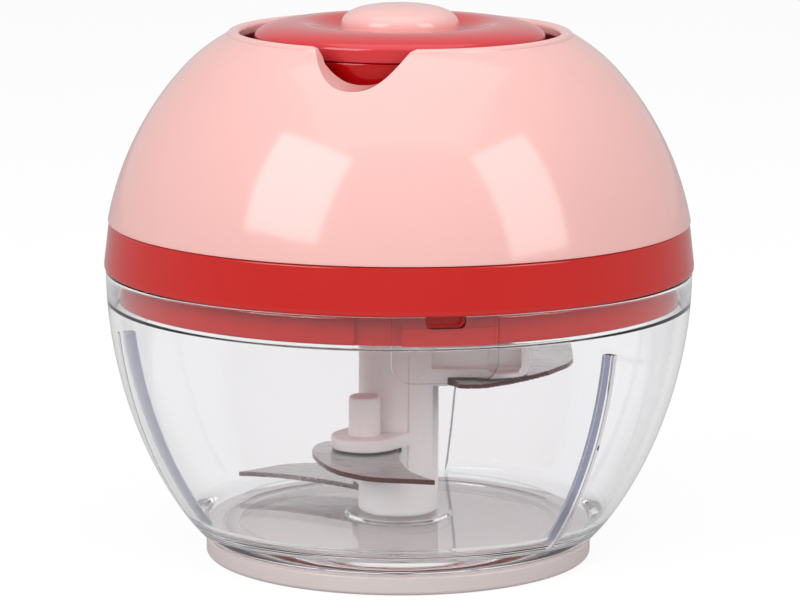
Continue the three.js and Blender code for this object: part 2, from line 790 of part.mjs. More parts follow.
function mechanismHousing() {
  const bottom = lidFloorZ + seatGap;
  const waistZ = seatTopZ - waistDrop;
  const shoulderZ = seatTopZ - shoulderDrop;
  const neckZ = (seatTopZ + waistZ) / 2;
  const wall = housingWall;
  const plate = seatTopZ - wall;
  const bushHole = cordRadius + seatGap + eyeletWall + seatGap;
  const recessBottom = recessFloorZ - wall;
  const body = turned([
    [housingRadius - wall, bottom], [housingRadius, bottom], [housingRadius, shoulderZ],
    [waistRadius, waistZ], [neckRadius, neckZ],
    [collarRadius - collarEdge, seatTopZ - 2 * collarEdge],
    [collarRadius, seatTopZ - collarEdge], [collarRadius, seatTopZ],
    [housingRecessRadius, seatTopZ], [housingRecessRadius, recessFloorZ], [bushHole, recessFloorZ],
    [bushHole, recessBottom], [housingRecessRadius + wall, recessBottom],
    [housingRecessRadius + wall, plate], [neckRadius - wall, plate],
    [neckRadius - wall, neckZ], [waistRadius - wall, waistZ], [housingRadius - wall, shoulderZ],
  ], midSides);
  const keepOut = disc(housingRadius - wall / 2, earZ - overrun, earZ + earThickness + overrun, midSides);
  const ears = [];
  const holes = [];
  for (let i = 0; i < housingScrewCount; i += 1) {
    const angle = housingScrewAngle + (i * 360) / housingScrewCount;
    const ear = tongue(earReach, earRadius, angle, earZ, earZ + earThickness);
    ears.push(toGeometry(toSolid(ear).subtract(toSolid(keepOut))));
    holes.push(discAt(earReach, angle, screwShankRadius + seatGap, earZ - overrun,
      earZ + earThickness + overrun, pinSides));
  }
  return carve(body, { add: ears, cut: holes });
}

// A screw along Z: the head at one end, the shank pointing away from it
function screw(headZ, tipZ) {
  const up = tipZ > headZ ? 1 : -1;
  const seat = headZ + up * screwHeadHeight;
  const round = screwHeadHeight / 3;
  return turned([
    [0, headZ], [screwHeadRadius - round, headZ], [screwHeadRadius, headZ + up * round],
    [screwHeadRadius, seat], [screwShankRadius, seat],
    [screwShankRadius, tipZ - up * screwShankRadius], [0, tipZ],
  ], pinSides);
}

function cordSpool() {
  const hub = sleeveRadius + turnGap;
  const lip = drumRadius + 2 * cordRadius + seatGap + spoolFlangeLip;
  const core = drumRadius - drumWall;
  const body = turned([
    [core, spoolBottomZ], [lip, spoolBottomZ], [lip, windingBottomZ], [drumRadius, windingBottomZ],
    [drumRadius, webZ], [lip, webZ], [lip, webTopZ], [hub, webTopZ], [hub, webZ], [core, webZ],
  ], midSides);
  const ring = disc(ratchetOuter, webTopZ - webThickness / 2, webTopZ + ratchetHeight, midSides);
  const teeth = [];
  for (let i = 0; i < ratchetTeeth; i += 1) {
    const start = (i * 360) / ratchetTeeth;
    const step = 360 / ratchetTeeth;
    teeth.push(polar(ratchetTip, start));
    teeth.push(polar((ratchetTip + ratchetRoot) / 2, start + step / 2));
    teeth.push(polar(ratchetRoot, start + step * toothBackShare));
  }
  const hollow = prism(shapeOf(teeth), webTopZ, webTopZ + ratchetHeight + overrun);
  const bore = disc(hub, webZ - overrun, webTopZ + overrun, midSides);
  return carve(body, { add: [toGeometry(toSolid(ring).subtract(toSolid(hollow)))], cut: [bore] });
}

function springCover() {
  const outer = drumRadius - drumWall - seatGap;
  return disc(outer, spoolBottomZ, spoolBottomZ + springCoverThickness, midSides, sleeveRadius + turnGap);
}

// A flat spiral strip from the sleeve out to the drum's wall
function returnSpring() {
  const inner = sleeveRadius + seatGap;
  const outer = drumRadius - drumWall - seatGap - springThickness;
  const steps = Math.round(springTurns * smallSides);
  const near = [];
  const far = [];
  for (let i = 0; i <= steps; i += 1) {
    const angle = (360 * springTurns * i) / steps;
    const radius = inner + ((outer - inner) * i) / steps;
    near.push(polar(radius, angle));
    far.push(polar(radius + springThickness, angle));
  }
  const bottom = spoolBottomZ + springCoverThickness + seatGap;
  return prism(shapeOf([...near, ...far.reverse()]), bottom, webZ - seatGap);
}

function vectorAt(reach, angle, z) {
  const [x, y] = polar(reach, angle);
  return new THREE.Vector3(x, y, z);
}

const cordReach = drumRadius + cordRadius + seatGap;

// Where the cord leaves the drum, and the corner that the guide ring turns it at
function cordCorners() {
  const start = vectorAt(cordReach, cordExitAngle, cordExitZ);
  const away = vectorAt(1, cordExitAngle - 90, 0);
  const run = Math.sqrt(guideReach ** 2 - cordReach ** 2);
  const guide = start.clone().addScaledVector(away, run);
  const top = new THREE.Vector3(0, 0, recessFloorZ - topBendDrop);
  const rise = top.clone().sub(guide).normalize();
  return { start, away, guide, top, rise };
}

class Helix extends THREE.Curve {
  getPoint(t) {
    const left = cordTurns * (1 - t);
    return vectorAt(cordReach, cordExitAngle + 360 * left, cordExitZ - cordPitch * left);
  }
}

const cordSection = regular(cordSides, 2 * cordRadius * Math.cos(Math.PI / cordSides));

// A tube along points, each ring square to the run
function tube(points) {
  const extrudePath = new Polyline(points);
  const steps = points.length - 1;
  return new THREE.ExtrudeGeometry(cordSection, { steps, extrudePath, bevelEnabled: false });
}

// A path that stops at each listed point in turn, so that every step of a tube lands on one
class Polyline extends THREE.Curve {
  constructor(points) {
    super();
    this.points = points;
  }

  getPoint(t) {
    const last = this.points.length - 1;
    const along = Math.min(t * last, last);
    const i = Math.min(Math.floor(along), last - 1);
    return this.points[i].clone().lerp(this.points[i + 1], along - i);
  }

  getPointAt(t) {
    return this.getPoint(t);
  }

  getTangent(t) {
    const last = this.points.length - 1;
    const i = Math.round(t * last);
    const before = this.points[Math.max(i - 1, 0)];
    const after = this.points[Math.min(i + 1, last)];
    return after.clone().sub(before).normalize();
  }

  getTangentAt(t) {
    return this.getTangent(t);
  }
}

// The cord from the drum's foot, round the drum, through the guide and up to the eyelet's top
function pullCord() {
  const { start, away, guide, top, rise } = cordCorners();
  const points = [];
  const steps = cordStepsPerTurn * cordTurns;
  const helix = new Helix();
  for (let i = 0; i <= steps; i += 1) points.push(helix.getPoint(i / steps));
  const bends = [
    [guide.clone().addScaledVector(away, -guideBend), guide, guide.clone().addScaledVector(rise, guideBend)],
    [top.clone().addScaledVector(rise, -topBend), top, top.clone().setZ(top.z + topBend)],
  ];
  for (const corners of bends) {
    const bend = new THREE.QuadraticBezierCurve3(...corners);
    points.push(...bend.getPoints(7));
  }
  points.push(new THREE.Vector3(0, 0, recessFloorZ + eyeletFlangeHeight));
  leastGap(points, steps);
  return tube(points);
}

// Print the least gap between the turns of the winding
function leastGap(points, count) {
  let least = Infinity;
  for (let i = 0; i < count; i += 1) {
    for (let j = i + cordStepsPerTurn / 2; j < count; j += 1) {
      least = Math.min(least, points[i].distanceTo(points[j]) - 2 * cordRadius);
    }
  }
  console.log(`least gap between cord turns: ${least.toFixed(2)} mm`);
}

// The guide ring on a stem from the housing's wall, turned square to the middle of the cord's bend
function cordGuide() {
  const { away, guide, rise } = cordCorners();
  const middle = guide.clone().addScaledVector(away, -guideBend / 4).addScaledVector(rise, guideBend / 4);
  const axis = away.clone().add(rise).normalize();
  const ring = new THREE.TorusGeometry(guideRingRadius, guideRodRadius, 8, smallSides);
  ring.applyQuaternion(new THREE.Quaternion().setFromUnitVectors(new THREE.Vector3(0, 0, 1), axis));
  ring.translate(middle.x, middle.y, middle.z);
  const outward = new THREE.Vector3(middle.x, middle.y, 0).normalize();
  const level = axis.clone().cross(outward).normalize();
  const stemWay = level.cross(axis).normalize();
  if (stemWay.dot(outward) < 0) stemWay.negate();
  const wallReach = (housingRadius - housingWall) * Math.cos(Math.PI / midSides) - seatGap;
  const flat = stemWay.clone().setZ(0);
  const at = new THREE.Vector3(middle.x, middle.y, 0);
  const b = at.dot(flat);
  const long = (-b + Math.sqrt(b * b - flat.lengthSq() * (at.lengthSq() - wallReach ** 2))) / flat.lengthSq();
  const length = long - guideRingRadius - guideRodRadius * Math.SQRT2;
  const stem = new THREE.CylinderGeometry(guideRodRadius, guideRodRadius, length, 8);
  stem.translate(0, guideRingRadius + length / 2, 0);
  stem.applyQuaternion(new THREE.Quaternion().setFromUnitVectors(new THREE.Vector3(0, 1, 0), stemWay));
  stem.translate(middle.x, middle.y, middle.z);
  return carve(ring, { add: [stem] });
}

function cordEyelet() {
  const bore = cordRadius + seatGap;
  const barrel = bore + eyeletWall;
  const seat = recessFloorZ + seatGap;
  return turned([
    [bore, recessFloorZ - housingWall], [barrel, recessFloorZ - housingWall], [barrel, seat],
    [eyeletFlange, seat], [eyeletFlange, seat + eyeletFlangeHeight], [bore, seat + eyeletFlangeHeight],
  ], smallSides);
}

// The coupler: a shaft through the lid, a square key on top and the six-sided drive below
function driveCoupler() {
  const flangeTop = bandBottomZ - seatGap;
  const flangeBottom = flangeTop - couplerFlangeHeight;
  const driveBottom = flangeBottom - driveLength + 2 * seatGap;
  const shaftTop = plateZ - seatGap;
  const shaft = turned([
    [0, flangeBottom], [couplerFlangeRadius, flangeBottom], [couplerFlangeRadius, flangeTop],
    [shaftRadius, flangeTop], [shaftRadius, shaftTop], [0, shaftTop],
  ], smallSides);
  const drive = prism(regular(6, driveAcrossFlats), driveBottom + driveNoseInset, flangeBottom + overrun);
  const nose = prism(
    regular(6, driveAcrossFlats - 2 * driveNoseInset), driveBottom, driveBottom + 2 * driveNoseInset,
  );
  const key = new THREE.BoxGeometry(keyWidth, keyWidth, plateThickness)
    .translate(0, 0, shaftTop + plateThickness / 2);
  const holeBottom = shaftTop - couplerScrewReach;
  const hole = disc(screwShankRadius + seatGap, holeBottom, shaftTop + 3 * overrun, pinSides);
  return carve(shaft, { add: [drive, nose, key], cut: [hole] });
}

// The clutch plate: a hub with springy pawls that trail around it and reach the ratchet's teeth
function clutchPlate() {
  const tip = ratchetTip - seatGap;
  let plate = toSolid(disc(plateHubRadius, plateZ, plateTopZ, midSides));
  for (let i = 0; i < pawlCount; i += 1) {
    const start = (i * 360) / pawlCount;
    const outer = [];
    const inner = [];
    const steps = 6;
    for (let j = 0; j <= steps; j += 1) {
      const angle = start + (pawlSpan * j) / steps;
      const radius = plateHubRadius + ((tip - plateHubRadius) * j) / steps;
      outer.push(polar(radius, angle));
      inner.push(polar(radius - pawlWidth, angle));
    }
    plate = plate.add(toSolid(prism(shapeOf([...outer, ...inner.reverse()]), plateZ, plateTopZ)));
  }
  const bore = keyWidth + 2 * seatGap;
  const hole = new THREE.BoxGeometry(bore, bore, 4 * plateThickness).translate(0, 0, plateZ);
  return toGeometry(plate.subtract(toSolid(hole)));
}

function clutchWasher() {
  return disc(washerRadius, washerZ, washerZ + washerThickness, smallSides, sleeveBore);
}

function couplerScrew() {
  const seat = plateTopZ + seatGap;
  const top = seat + screwHeadHeight;
  const tip = plateZ - couplerScrewReach + 2 * seatGap;
  return turned([
    [0, tip], [screwShankRadius, tip + screwShankRadius], [screwShankRadius, seat],
    [couplerHeadRadius, seat], [couplerHeadRadius, top - couplerHeadRound],
    [couplerHeadRadius - couplerHeadRound, top], [0, top],
  ], smallSides);
}

// The handle's top: a rolled rim, a crest and a dish that falls to the cap's recess
function pullHandle() {
  const bottom = handleBottomZ;
  const crestZ = bottom + crestHeight;
  const recessRadius = capRadius + seatGap;
  const recessZ = bottom + capRecess;
  const dishZ = recessZ + capSideHeight / 2;
  const hubBottom = bottom - hubDrop;
  const gripOuter = handleRadius - handleRimWidth;
  const gripInner = recessRadius + handleWall;
  const gripTop = crestZ - handleWall;
  const roll = [];
  for (let i = 0; i <= 4; i += 1) {
    const turn = radians(22.5 * i);
    roll.push([
      crestRadius + (handleRadius - crestRadius) * Math.cos(turn),
      bottom + handleSide + (crestHeight - handleSide) * Math.sin(turn),
    ]);
  }
  const dish = [];
  for (let i = 1; i <= 4; i += 1) {
    const share = i / 4;
    const fall = (1 - Math.cos(Math.PI * share)) / 2;
    dish.push([crestRadius + (recessRadius - crestRadius) * share, crestZ + (dishZ - crestZ) * fall]);
  }
  const bore = cordRadius + seatGap;
  const eyeletRoom = eyeletFlange + seatGap;
  const roomTop = hubBottom + eyeletFlangeHeight + seatGap;
  const pocketZ = recessFloorZ + seatGap + eyeletFlangeHeight + handleWall;
  return turned([
    [bore, roomTop], [eyeletRoom, roomTop], [eyeletRoom, hubBottom], [hubRadius, hubBottom],
    [hubRadius, bottom], [gripInner, bottom],
    [crestRadius, gripTop], [gripOuter - handleWall, gripTop], [gripOuter, gripTop - handleWall / 2],
    [gripOuter, bottom], [handleRadius, bottom], ...roll, ...dish,
    [recessRadius, recessZ], [knotPocketRadius, recessZ], [knotPocketRadius, pocketZ], [bore, pocketZ],
  ], midSides);
}

// The cap's dome is a quarter of a superellipse, fuller at its shoulder than an ellipse
function handleCap() {
  const bottom = handleBottomZ + capRecess + seatGap;
  const shoulder = bottom + capSideHeight;
  const top = bottom + capHeight;
  const rise = top - shoulder;
  const outside = [];
  const inside = [];
  for (let i = 0; i < capSteps; i += 1) {
    const turn = (Math.PI / 2) * (i / capSteps);
    const across = Math.cos(turn) ** (2 / capFullness);
    const up = Math.sin(turn) ** (2 / capFullness);
    outside.push([capRadius * across, shoulder + rise * up]);
    inside.push([(capRadius - capWall) * across, shoulder + (rise - capWall) * up]);
  }
  return turned([
    [0, top - capWall], ...inside.reverse(),
    [capRadius - capWall, bottom], [capRadius, bottom], ...outside, [0, top],
  ], midSides);
}

const knotSeatZ = recessFloorZ + seatGap + eyeletFlangeHeight + handleWall + seatGap;

function knotWasher() {
  return disc(knotWasherRadius, knotSeatZ, knotSeatZ + knotWasherThickness, smallSides, cordRadius + seatGap);
}

function cordKnot() {
  const z = knotSeatZ + knotWasherThickness + seatGap + knotRadius;
  return new THREE.SphereGeometry(knotRadius, 12, 8).rotateX(Math.PI / 2).translate(0, 0, z);
}

// The cord between the eyelet and the knot, which lengthens as the handle is pulled
function pullCordTail() {
  const bottom = recessFloorZ + eyeletFlangeHeight + seatGap;
  const top = knotSeatZ + knotWasherThickness;
  return prism(cordSection, bottom, top);
}

place('bowl', bowl(), clearPlastic());
place('foot_pad', footPad(), paleRubber());
place('pivot_pin', pivotPin(), plainSteel());
place('blade_post', bladePost(), paleNylon());
place('lower_blade', blade(bladeOutlineShares, bladeReach, lowerBladeZ, lowerLugAngle), bladeSteel());
place('middle_blade', blade(bladeOutlineShares, bladeReach, middleBladeZ, middleLugAngle), bladeSteel());
place('upper_blade', blade(upperOutlineShares, upperBladeReach, upperBladeZ, armAngle), bladeSteel());
place('lid_base', lidBase(), redPlastic());
place('dome_cover', domeCover(), pinkPlastic());
place('mechanism_housing', mechanismHousing(), redPlastic());
place('cord_spool', cordSpool(), whiteAcetal());
place('spring_cover', springCover(), plainSteel());
place('return_spring', returnSpring(), springSteel());
place('pull_cord', pullCord(), cordWhite());
place('cord_guide', cordGuide(), plainSteel());
place('cord_eyelet', cordEyelet(), plainSteel());
place('drive_coupler', driveCoupler(), whiteAcetal());
place('clutch_plate', clutchPlate(), blackNylon());
place('clutch_washer', clutchWasher(), plainSteel());
place('coupler_screw', couplerScrew(), plainSteel());
place('pull_handle', pullHandle(), handleRed());
place('handle_cap', handleCap(), pinkPlastic());
place('knot_washer', knotWasher(), plainSteel());
place('cord_knot', cordKnot(), cordWhite());
place('pull_cord_tail', pullCordTail(), cordWhite());

for (let i = 0; i < domeScrewCount; i += 1) {
  const [x, y] = polar(domeScrewReach, domeScrewAngle + (i * 360) / domeScrewCount);
  const headZ = bandBottomZ + seatGap;
  const tipZ = lidFloorZ + domeScrewRise + seatGap + screwBite;
  place(`dome_screw_${i + 1}`, screw(headZ, tipZ).translate(x, y, 0), plainSteel());
}

for (let i = 0; i < housingScrewCount; i += 1) {
  const [x, y] = polar(earReach, housingScrewAngle + (i * 360) / housingScrewCount);
  const headZ = earZ + earThickness + seatGap + screwHeadHeight;
  const tipZ = earZ - seatGap - screwBite;
  place(`housing_screw_${i + 1}`, screw(headZ, tipZ).translate(x, y, 0), plainSteel());
}

export default part;
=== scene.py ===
import math

import bmesh
import bpy
from mathutils import Euler, Matrix, Quaternion, Vector


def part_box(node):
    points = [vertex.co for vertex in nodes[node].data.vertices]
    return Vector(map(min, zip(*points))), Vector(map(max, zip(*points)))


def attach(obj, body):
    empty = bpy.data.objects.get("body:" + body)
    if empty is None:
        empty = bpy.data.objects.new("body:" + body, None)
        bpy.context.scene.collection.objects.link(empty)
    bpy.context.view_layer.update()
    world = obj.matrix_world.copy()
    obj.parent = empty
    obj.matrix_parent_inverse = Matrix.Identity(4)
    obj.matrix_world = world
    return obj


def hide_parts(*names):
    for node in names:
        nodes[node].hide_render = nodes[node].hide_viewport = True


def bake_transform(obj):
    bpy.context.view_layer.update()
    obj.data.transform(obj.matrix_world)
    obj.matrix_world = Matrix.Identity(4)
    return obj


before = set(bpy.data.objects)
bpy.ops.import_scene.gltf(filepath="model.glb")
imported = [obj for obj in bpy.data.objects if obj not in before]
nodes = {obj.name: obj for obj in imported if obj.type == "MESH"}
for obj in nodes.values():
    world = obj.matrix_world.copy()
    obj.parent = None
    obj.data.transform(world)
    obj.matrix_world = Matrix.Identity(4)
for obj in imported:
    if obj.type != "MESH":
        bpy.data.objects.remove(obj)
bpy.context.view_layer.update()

# Hand-pulled garlic chopper. Shapes are drawn in millimetres and finished in metres.
millimetre = 0.001
weldDistance = 0.0005
flatAngle = 1
spinSteps = 192
seatGap = 0.3
overrun = 1
print("frame loaded")


# Lowest height, highest height and outer radius of a CAD node, in millimetres
def spanOf(node):
    low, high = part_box(node)
    return low.z / millimetre, high.z / millimetre, high.x / millimetre


# Points along an arc of an ellipse, as (radius, height) pairs, with angles in degrees
def arc(centre, reach, start, end, steps):
    points = []
    for step in range(steps + 1):
        turn = math.radians(start + (end - start) * step / steps)
        points.append((centre[0] + reach[0] * math.cos(turn), centre[1] + reach[1] * math.sin(turn)))
    return points


# Shares of a way, from 0 to 1 in even steps
def shares(steps):
    return [step / steps for step in range(steps + 1)]


# Points along a bend from one place to another, drawn toward its corner
def bendPoints(start, corner, end, steps):
    return [start.lerp(corner, share).lerp(corner.lerp(end, share), share) for share in shares(steps)]


# Replace each point that has a third value by a curve that leaves its corner that far away
def roundCorners(points, steps=5):
    rounded = []
    for number, point in enumerate(points):
        if len(point) == 2:
            rounded.append(point)
            continue
        corner = Vector(point[:2])
        before = Vector(points[number - 1][:2])
        after = Vector(points[(number + 1) % len(points)][:2])
        start = corner + (before - corner).normalized() * point[2]
        end = corner + (after - corner).normalized() * point[2]
        rounded += [tuple(place) for place in bendPoints(start, corner, end, steps)]
    return rounded


def closeShape(shape):
    bmesh.ops.remove_doubles(shape, verts=shape.verts, dist=weldDistance)
    bmesh.ops.recalc_face_normals(shape, faces=shape.faces)
    return shape


# Turn an outline of (radius, height) points about the upright axis
def spinOutline(points, steps=spinSteps):
    shape = bmesh.new()
    corners = [shape.verts.new((radius, 0, height)) for radius, height in points]
    edges = [shape.edges.new(pair) for pair in zip(corners, corners[1:])]
    if points[0][0] or points[-1][0]:
        edges.append(shape.edges.new((corners[-1], corners[0])))
    bmesh.ops.spin(shape, geom=corners + edges, cent=(0, 0, 0), axis=(0, 0, 1),
                   angle=math.tau, steps=steps, use_merge=True)
    return closeShape(shape)


# Raise a flat outline of (x, y) points from one height to another
def raiseOutline(points, bottom, top):
    shape = bmesh.new()
    face = shape.faces.new([shape.verts.new((x, y, bottom)) for x, y in points])
    raised = bmesh.ops.extrude_face_region(shape, geom=[face])
    moved = [item for item in raised["geom"] if isinstance(item, bmesh.types.BMVert)]
    bmesh.ops.translate(shape, vec=(0, 0, top - bottom), verts=moved)
    bmesh.ops.recalc_face_normals(shape, faces=shape.faces)
    return shape


# Move the edges of a counter-clockwise outline outward
def growOutline(points, distance):
    grown = []
    for place, point in enumerate(points):
        here = Vector(point)
        ways = [here - Vector(points[place - 1]), Vector(points[(place + 1) % len(points)]) - here]
        first, second = [Vector((way.y, -way.x)).normalized() for way in ways]
        grown.append(tuple(here + (first + second) * (distance / (1 + first.dot(second)))))
    return grown


# A round tube along a list of points; every other ring is a little slimmer, as a braid is
def sweepTube(points, radius, sides=10, waist=0.94):
    shape = bmesh.new()
    rings = []
    side = None
    for place, point in enumerate(points):
        along = (points[min(place + 1, len(points) - 1)] - points[max(place - 1, 0)]).normalized()
        side = along.orthogonal() if side is None else side
        side = (side - along * side.dot(along)).normalized()
        across = along.cross(side)
        reach = radius * (waist if place % 2 else 1)
        turns = [math.tau * (step + place % 2 / 2) / sides for step in range(sides)]
        rings.append([shape.verts.new(point + (side * math.cos(turn) + across * math.sin(turn)) * reach)
                      for turn in turns])
    for low, high in zip(rings, rings[1:]):
        for step in range(sides):
            beyond = (step + 1) % sides
            shape.faces.new((low[step], low[beyond], high[beyond], high[step]))
    shape.faces.new(rings[0])
    shape.faces.new(rings[-1])
    bmesh.ops.recalc_face_normals(shape, faces=shape.faces)
    return shape


# A stretch of a ring with a rectangular section, between two angles in degrees
def ringStretch(inner, outer, bottom, top, angles, steps=24):
    shape = bmesh.new()
    corners = [(inner, bottom), (outer, bottom), (outer, top), (inner, top)]
    shape.faces.new([shape.verts.new((radius, 0, height)) for radius, height in corners])
    turnShape(shape, angles[0])
    bmesh.ops.spin(shape, geom=shape.verts[:] + shape.edges[:] + shape.faces[:], cent=(0, 0, 0),
                   axis=(0, 0, 1), angle=math.radians(angles[1] - angles[0]), steps=steps)
    return closeShape(shape)


def turnShape(shape, degrees, axis="Z"):
    turn = Matrix.Rotation(math.radians(degrees), 3, axis)
    bmesh.ops.rotate(shape, cent=(0, 0, 0), matrix=turn, verts=shape.verts)
    return shape


def moveShape(shape, x, y):
    bmesh.ops.translate(shape, vec=(x, y, 0), verts=shape.verts)
    return shape


def discAt(radius, bottom, top, place=(0, 0), steps=40):
    disc = spinOutline([(0, bottom), (radius, bottom), (radius, top), (0, top)], steps)
    return moveShape(disc, *place)


# Stand a raised outline of (radius, height) points up at an angle
def standOnRadius(shape, degrees):
    turnShape(shape, 90, "X")
    return turnShape(shape, degrees)


# Lay a raised outline of (sideways, height) points out along a radius at an angle
def faceOutward(shape, degrees):
    return standOnRadius(shape, 90 + degrees)


def polar(reach, degrees):
    return reach * math.cos(math.radians(degrees)), reach * math.sin(math.radians(degrees))


# The angles of places that are spread evenly round a full turn
def spreadRound(count, first=0):
    return [first + turn * 360 / count for turn in range(count)]


# Round every edge that is sharper than an angle
def softenEdges(shape, width, segments=2, leastAngle=35):
    least = math.radians(leastAngle)
    sharp = [edge for edge in shape.edges if edge.is_manifold and edge.calc_face_angle() > least]
    bmesh.ops.bevel(shape, geom=sharp, offset=width, offset_type="OFFSET", segments=segments,
                    profile=0.5, affect="EDGES", clamp_overlap=True, material=-1)
    return shape


def newObject(name, data):
    made = bpy.data.objects.new(name, data)
    bpy.context.scene.collection.objects.link(made)
    return made


def meshObject(shape, name):
    mesh = bpy.data.meshes.new(name)
    shape.to_mesh(mesh)
    shape.free()
    return newObject(name, mesh)


# Keep what a base shares with some shapes, join others to it, then cut others out
def carve(base, join=(), cut=(), keep=()):
    target = meshObject(base, "working_shape")
    tools = []
    for operation, shapes in (("INTERSECT", keep), ("UNION", join), ("DIFFERENCE", cut)):
        for shape in shapes:
            tool = meshObject(shape, "working_shape")
            step = target.modifiers.new(operation.lower(), "BOOLEAN")
            step.operation = operation
            step.object = tool
            step.solver = "EXACT"
            tools.append(tool)
    result = bmesh.new()
    result.from_object(target, bpy.context.evaluated_depsgraph_get())
    for item in [target, *tools]:
        mesh = item.data
        bpy.data.objects.remove(item)
        bpy.data.meshes.remove(mesh)
    bmesh.ops.remove_doubles(result, verts=result.verts, dist=weldDistance)
    return result


# Turn a shape into a piece of the object, in metres, on the body that it rides if there is only one
def finishPiece(shape, name, body, material, replaced, smoothAngle=35):
    bmesh.ops.scale(shape, vec=(millimetre,) * 3, verts=shape.verts)
    piece = meshObject(shape, name)
    piece.data.materials.append(material)
    piece.data.shade_smooth()
    piece.data.set_sharp_from_angle(angle=math.radians(smoothAngle))
    # Keeps broad faces looking flat beside their bevels
    weighted = piece.modifiers.new("weighted normals", "WEIGHTED_NORMAL")
    weighted.mode = "FACE_AREA"
    weighted.keep_sharp = True
    if body:
        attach(piece, body)
    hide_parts(*replaced)
    return piece


# An sRGB colour, given as it looks, in the values that shaders use
def paint(red, green, blue):
    parts = []
    for value in (red, green, blue):
        part = value / 255
        parts.append(part / 12.92 if part <= 0.04045 else ((part + 0.055) / 1.055) ** 2.4)
    return (*parts, 1)


# Set a node's sockets, each to a number, a colour or another node's output, which is linked
def feed(tree, node, values):
    for socket, value in values.items():
        if isinstance(value, bpy.types.NodeSocket):
            tree.links.new(value, node.inputs[socket])
        else:
            node.inputs[socket].default_value = value


def addNode(tree, kind, values=None, **properties):
    node = tree.nodes.new(f"ShaderNode{kind}")
    for name, value in properties.items():
        setattr(node, name, value)
    feed(tree, node, values or {})
    return node


def combine(tree, operation, first, second):
    return addNode(tree, "Math", {0: first, 1: second}, operation=operation).outputs["Value"]


# A mix of two values or two colours by a factor
def choose(tree, factor, low, high, kind="FLOAT"):
    return addNode(tree, "Mix", {"Factor": factor, "A": low, "B": high}, data_type=kind).outputs["Result"]


def mapRange(tree, value, low, high, newLow=0, newHigh=1, **properties):
    spans = {"From Min": low, "From Max": high, "To Min": newLow, "To Max": newHigh}
    return addNode(tree, "MapRange", {"Value": value, **spans}, **properties).outputs["Result"]


def shade(tree, color, factor):
    return addNode(tree, "VectorMath", {0: color, "Scale": factor}, operation="SCALE").outputs["Vector"]


def noise(tree, place, scale, detail, roughness=0.5):
    values = {"Vector": place, "Scale": scale, "Detail": detail, "Roughness": roughness}
    return addNode(tree, "TexNoise", values).outputs["Fac"]


# A node group that takes a colour, a value of its own and two limits of gloss
def newSkin(name, ownValue, ownKind):
    group = bpy.data.node_groups.new(name, "ShaderNodeTree")
    inputs = {"Color": "Color", ownValue: ownKind, "Gloss Low": "Float", "Gloss High": "Float"}
    outputs = {"Color": "Color", "Roughness": "Float", "Height": "Float"}
    for way, sockets in (("INPUT", inputs), ("OUTPUT", outputs)):
        for socketName, kind in sockets.items():
            group.interface.new_socket(socketName, in_out=way, socket_type=f"NodeSocket{kind}")
    return group, group.nodes.new("NodeGroupInput").outputs


# Shade a skin's colour by its tone, and let its wear run between its limits of gloss
def finishSkin(group, given, tone, wear, wearSpan, height):
    roughness = mapRange(group, wear, *wearSpan, given["Gloss Low"], given["Gloss High"])
    color = shade(group, given["Color"], tone)
    made = group.nodes.new("NodeGroupOutput")
    feed(group, made, {"Color": color, "Roughness": roughness, "Height": height})
    return group


# Moulded plastic: slow shifts of tone, fine polish marks and a faint ripple
def makeMouldedSkin():
    group, given = newSkin("mouldedSkin", "Tone Shift", "Float")
    place = addNode(group, "TexCoord").outputs["Object"]
    stretched = addNode(group, "Mapping", {"Vector": place, "Scale": (1, 1, 9)}).outputs["Vector"]
    slow = noise(group, place, scale=28, detail=3)
    fine = noise(group, place, scale=900, detail=4)
    ripple = noise(group, place, scale=160, detail=1)
    marks = noise(group, stretched, scale=420, detail=6, roughness=0.7)
    darkest = combine(group, "SUBTRACT", 1, given["Tone Shift"])
    tone = mapRange(group, slow, low=0.3, high=0.7, newLow=1, newHigh=darkest)
    worn = combine(group, "MULTIPLY", marks, fine)
    return finishSkin(group, given, tone, worn, wearSpan=(0.12, 0.45), height=ripple)


# Rolled steel: fine lines along one direction, with a slow change of tone
def makeBrushedSkin():
    group, given = newSkin("brushedSkin", "Line Scale", "Vector")
    place = addNode(group, "TexCoord").outputs["Object"]
    stretch = addNode(group, "VectorMath", {0: place, 1: given["Line Scale"]}, operation="MULTIPLY")
    lines = noise(group, stretch.outputs["Vector"], scale=1, detail=5, roughness=0.65)
    cloud = noise(group, place, scale=55, detail=3)
    both = combine(group, "MULTIPLY", lines, cloud)
    tone = mapRange(group, both, low=0.12, high=0.4, newLow=0.82, newHigh=1.06)
    return finishSkin(group, given, tone, lines, wearSpan=(0.3, 0.7), height=lines)


mouldedSkin = makeMouldedSkin()
brushedSkin = makeBrushedSkin()
rippleDepth = 0.0004  # of the skins' bumps, in metres
grainDepth = 0.0002


def emptyTree(owner):
    owner.use_nodes = True
    owner.node_tree.nodes.clear()
    return owner.node_tree


# A material whose Principled shader wears a skin, with its shader, its output and the skin's colour
def newMaterial(name, values, skin, skinValues, bumpStrength, bumpDepth):
    material = bpy.data.materials.new(name)
    tree = emptyTree(material)
    made = addNode(tree, "Group", skinValues, node_tree=skin).outputs
    bump = addNode(tree, "Bump", {"Strength": bumpStrength, "Distance": bumpDepth, "Height": made["Height"]})
    worn = {"Base Color": made["Color"], "Roughness": made["Roughness"], "Normal": bump.outputs["Normal"]}
    shader = addNode(tree, "BsdfPrincipled", {**values, **worn})
    output = addNode(tree, "OutputMaterial", {"Surface": shader.outputs["BSDF"]})
    return material, shader, output, made["Color"]


def makePlastic(name, color, toneShift, glossLow, glossHigh, ripple=0.06, extra=None):
    skin = {"Color": color, "Tone Shift": toneShift, "Gloss Low": glossLow, "Gloss High": glossHigh}
    return newMaterial(name, {"IOR": 1.5, **(extra or {})}, mouldedSkin, skin, ripple, rippleDepth)[0]


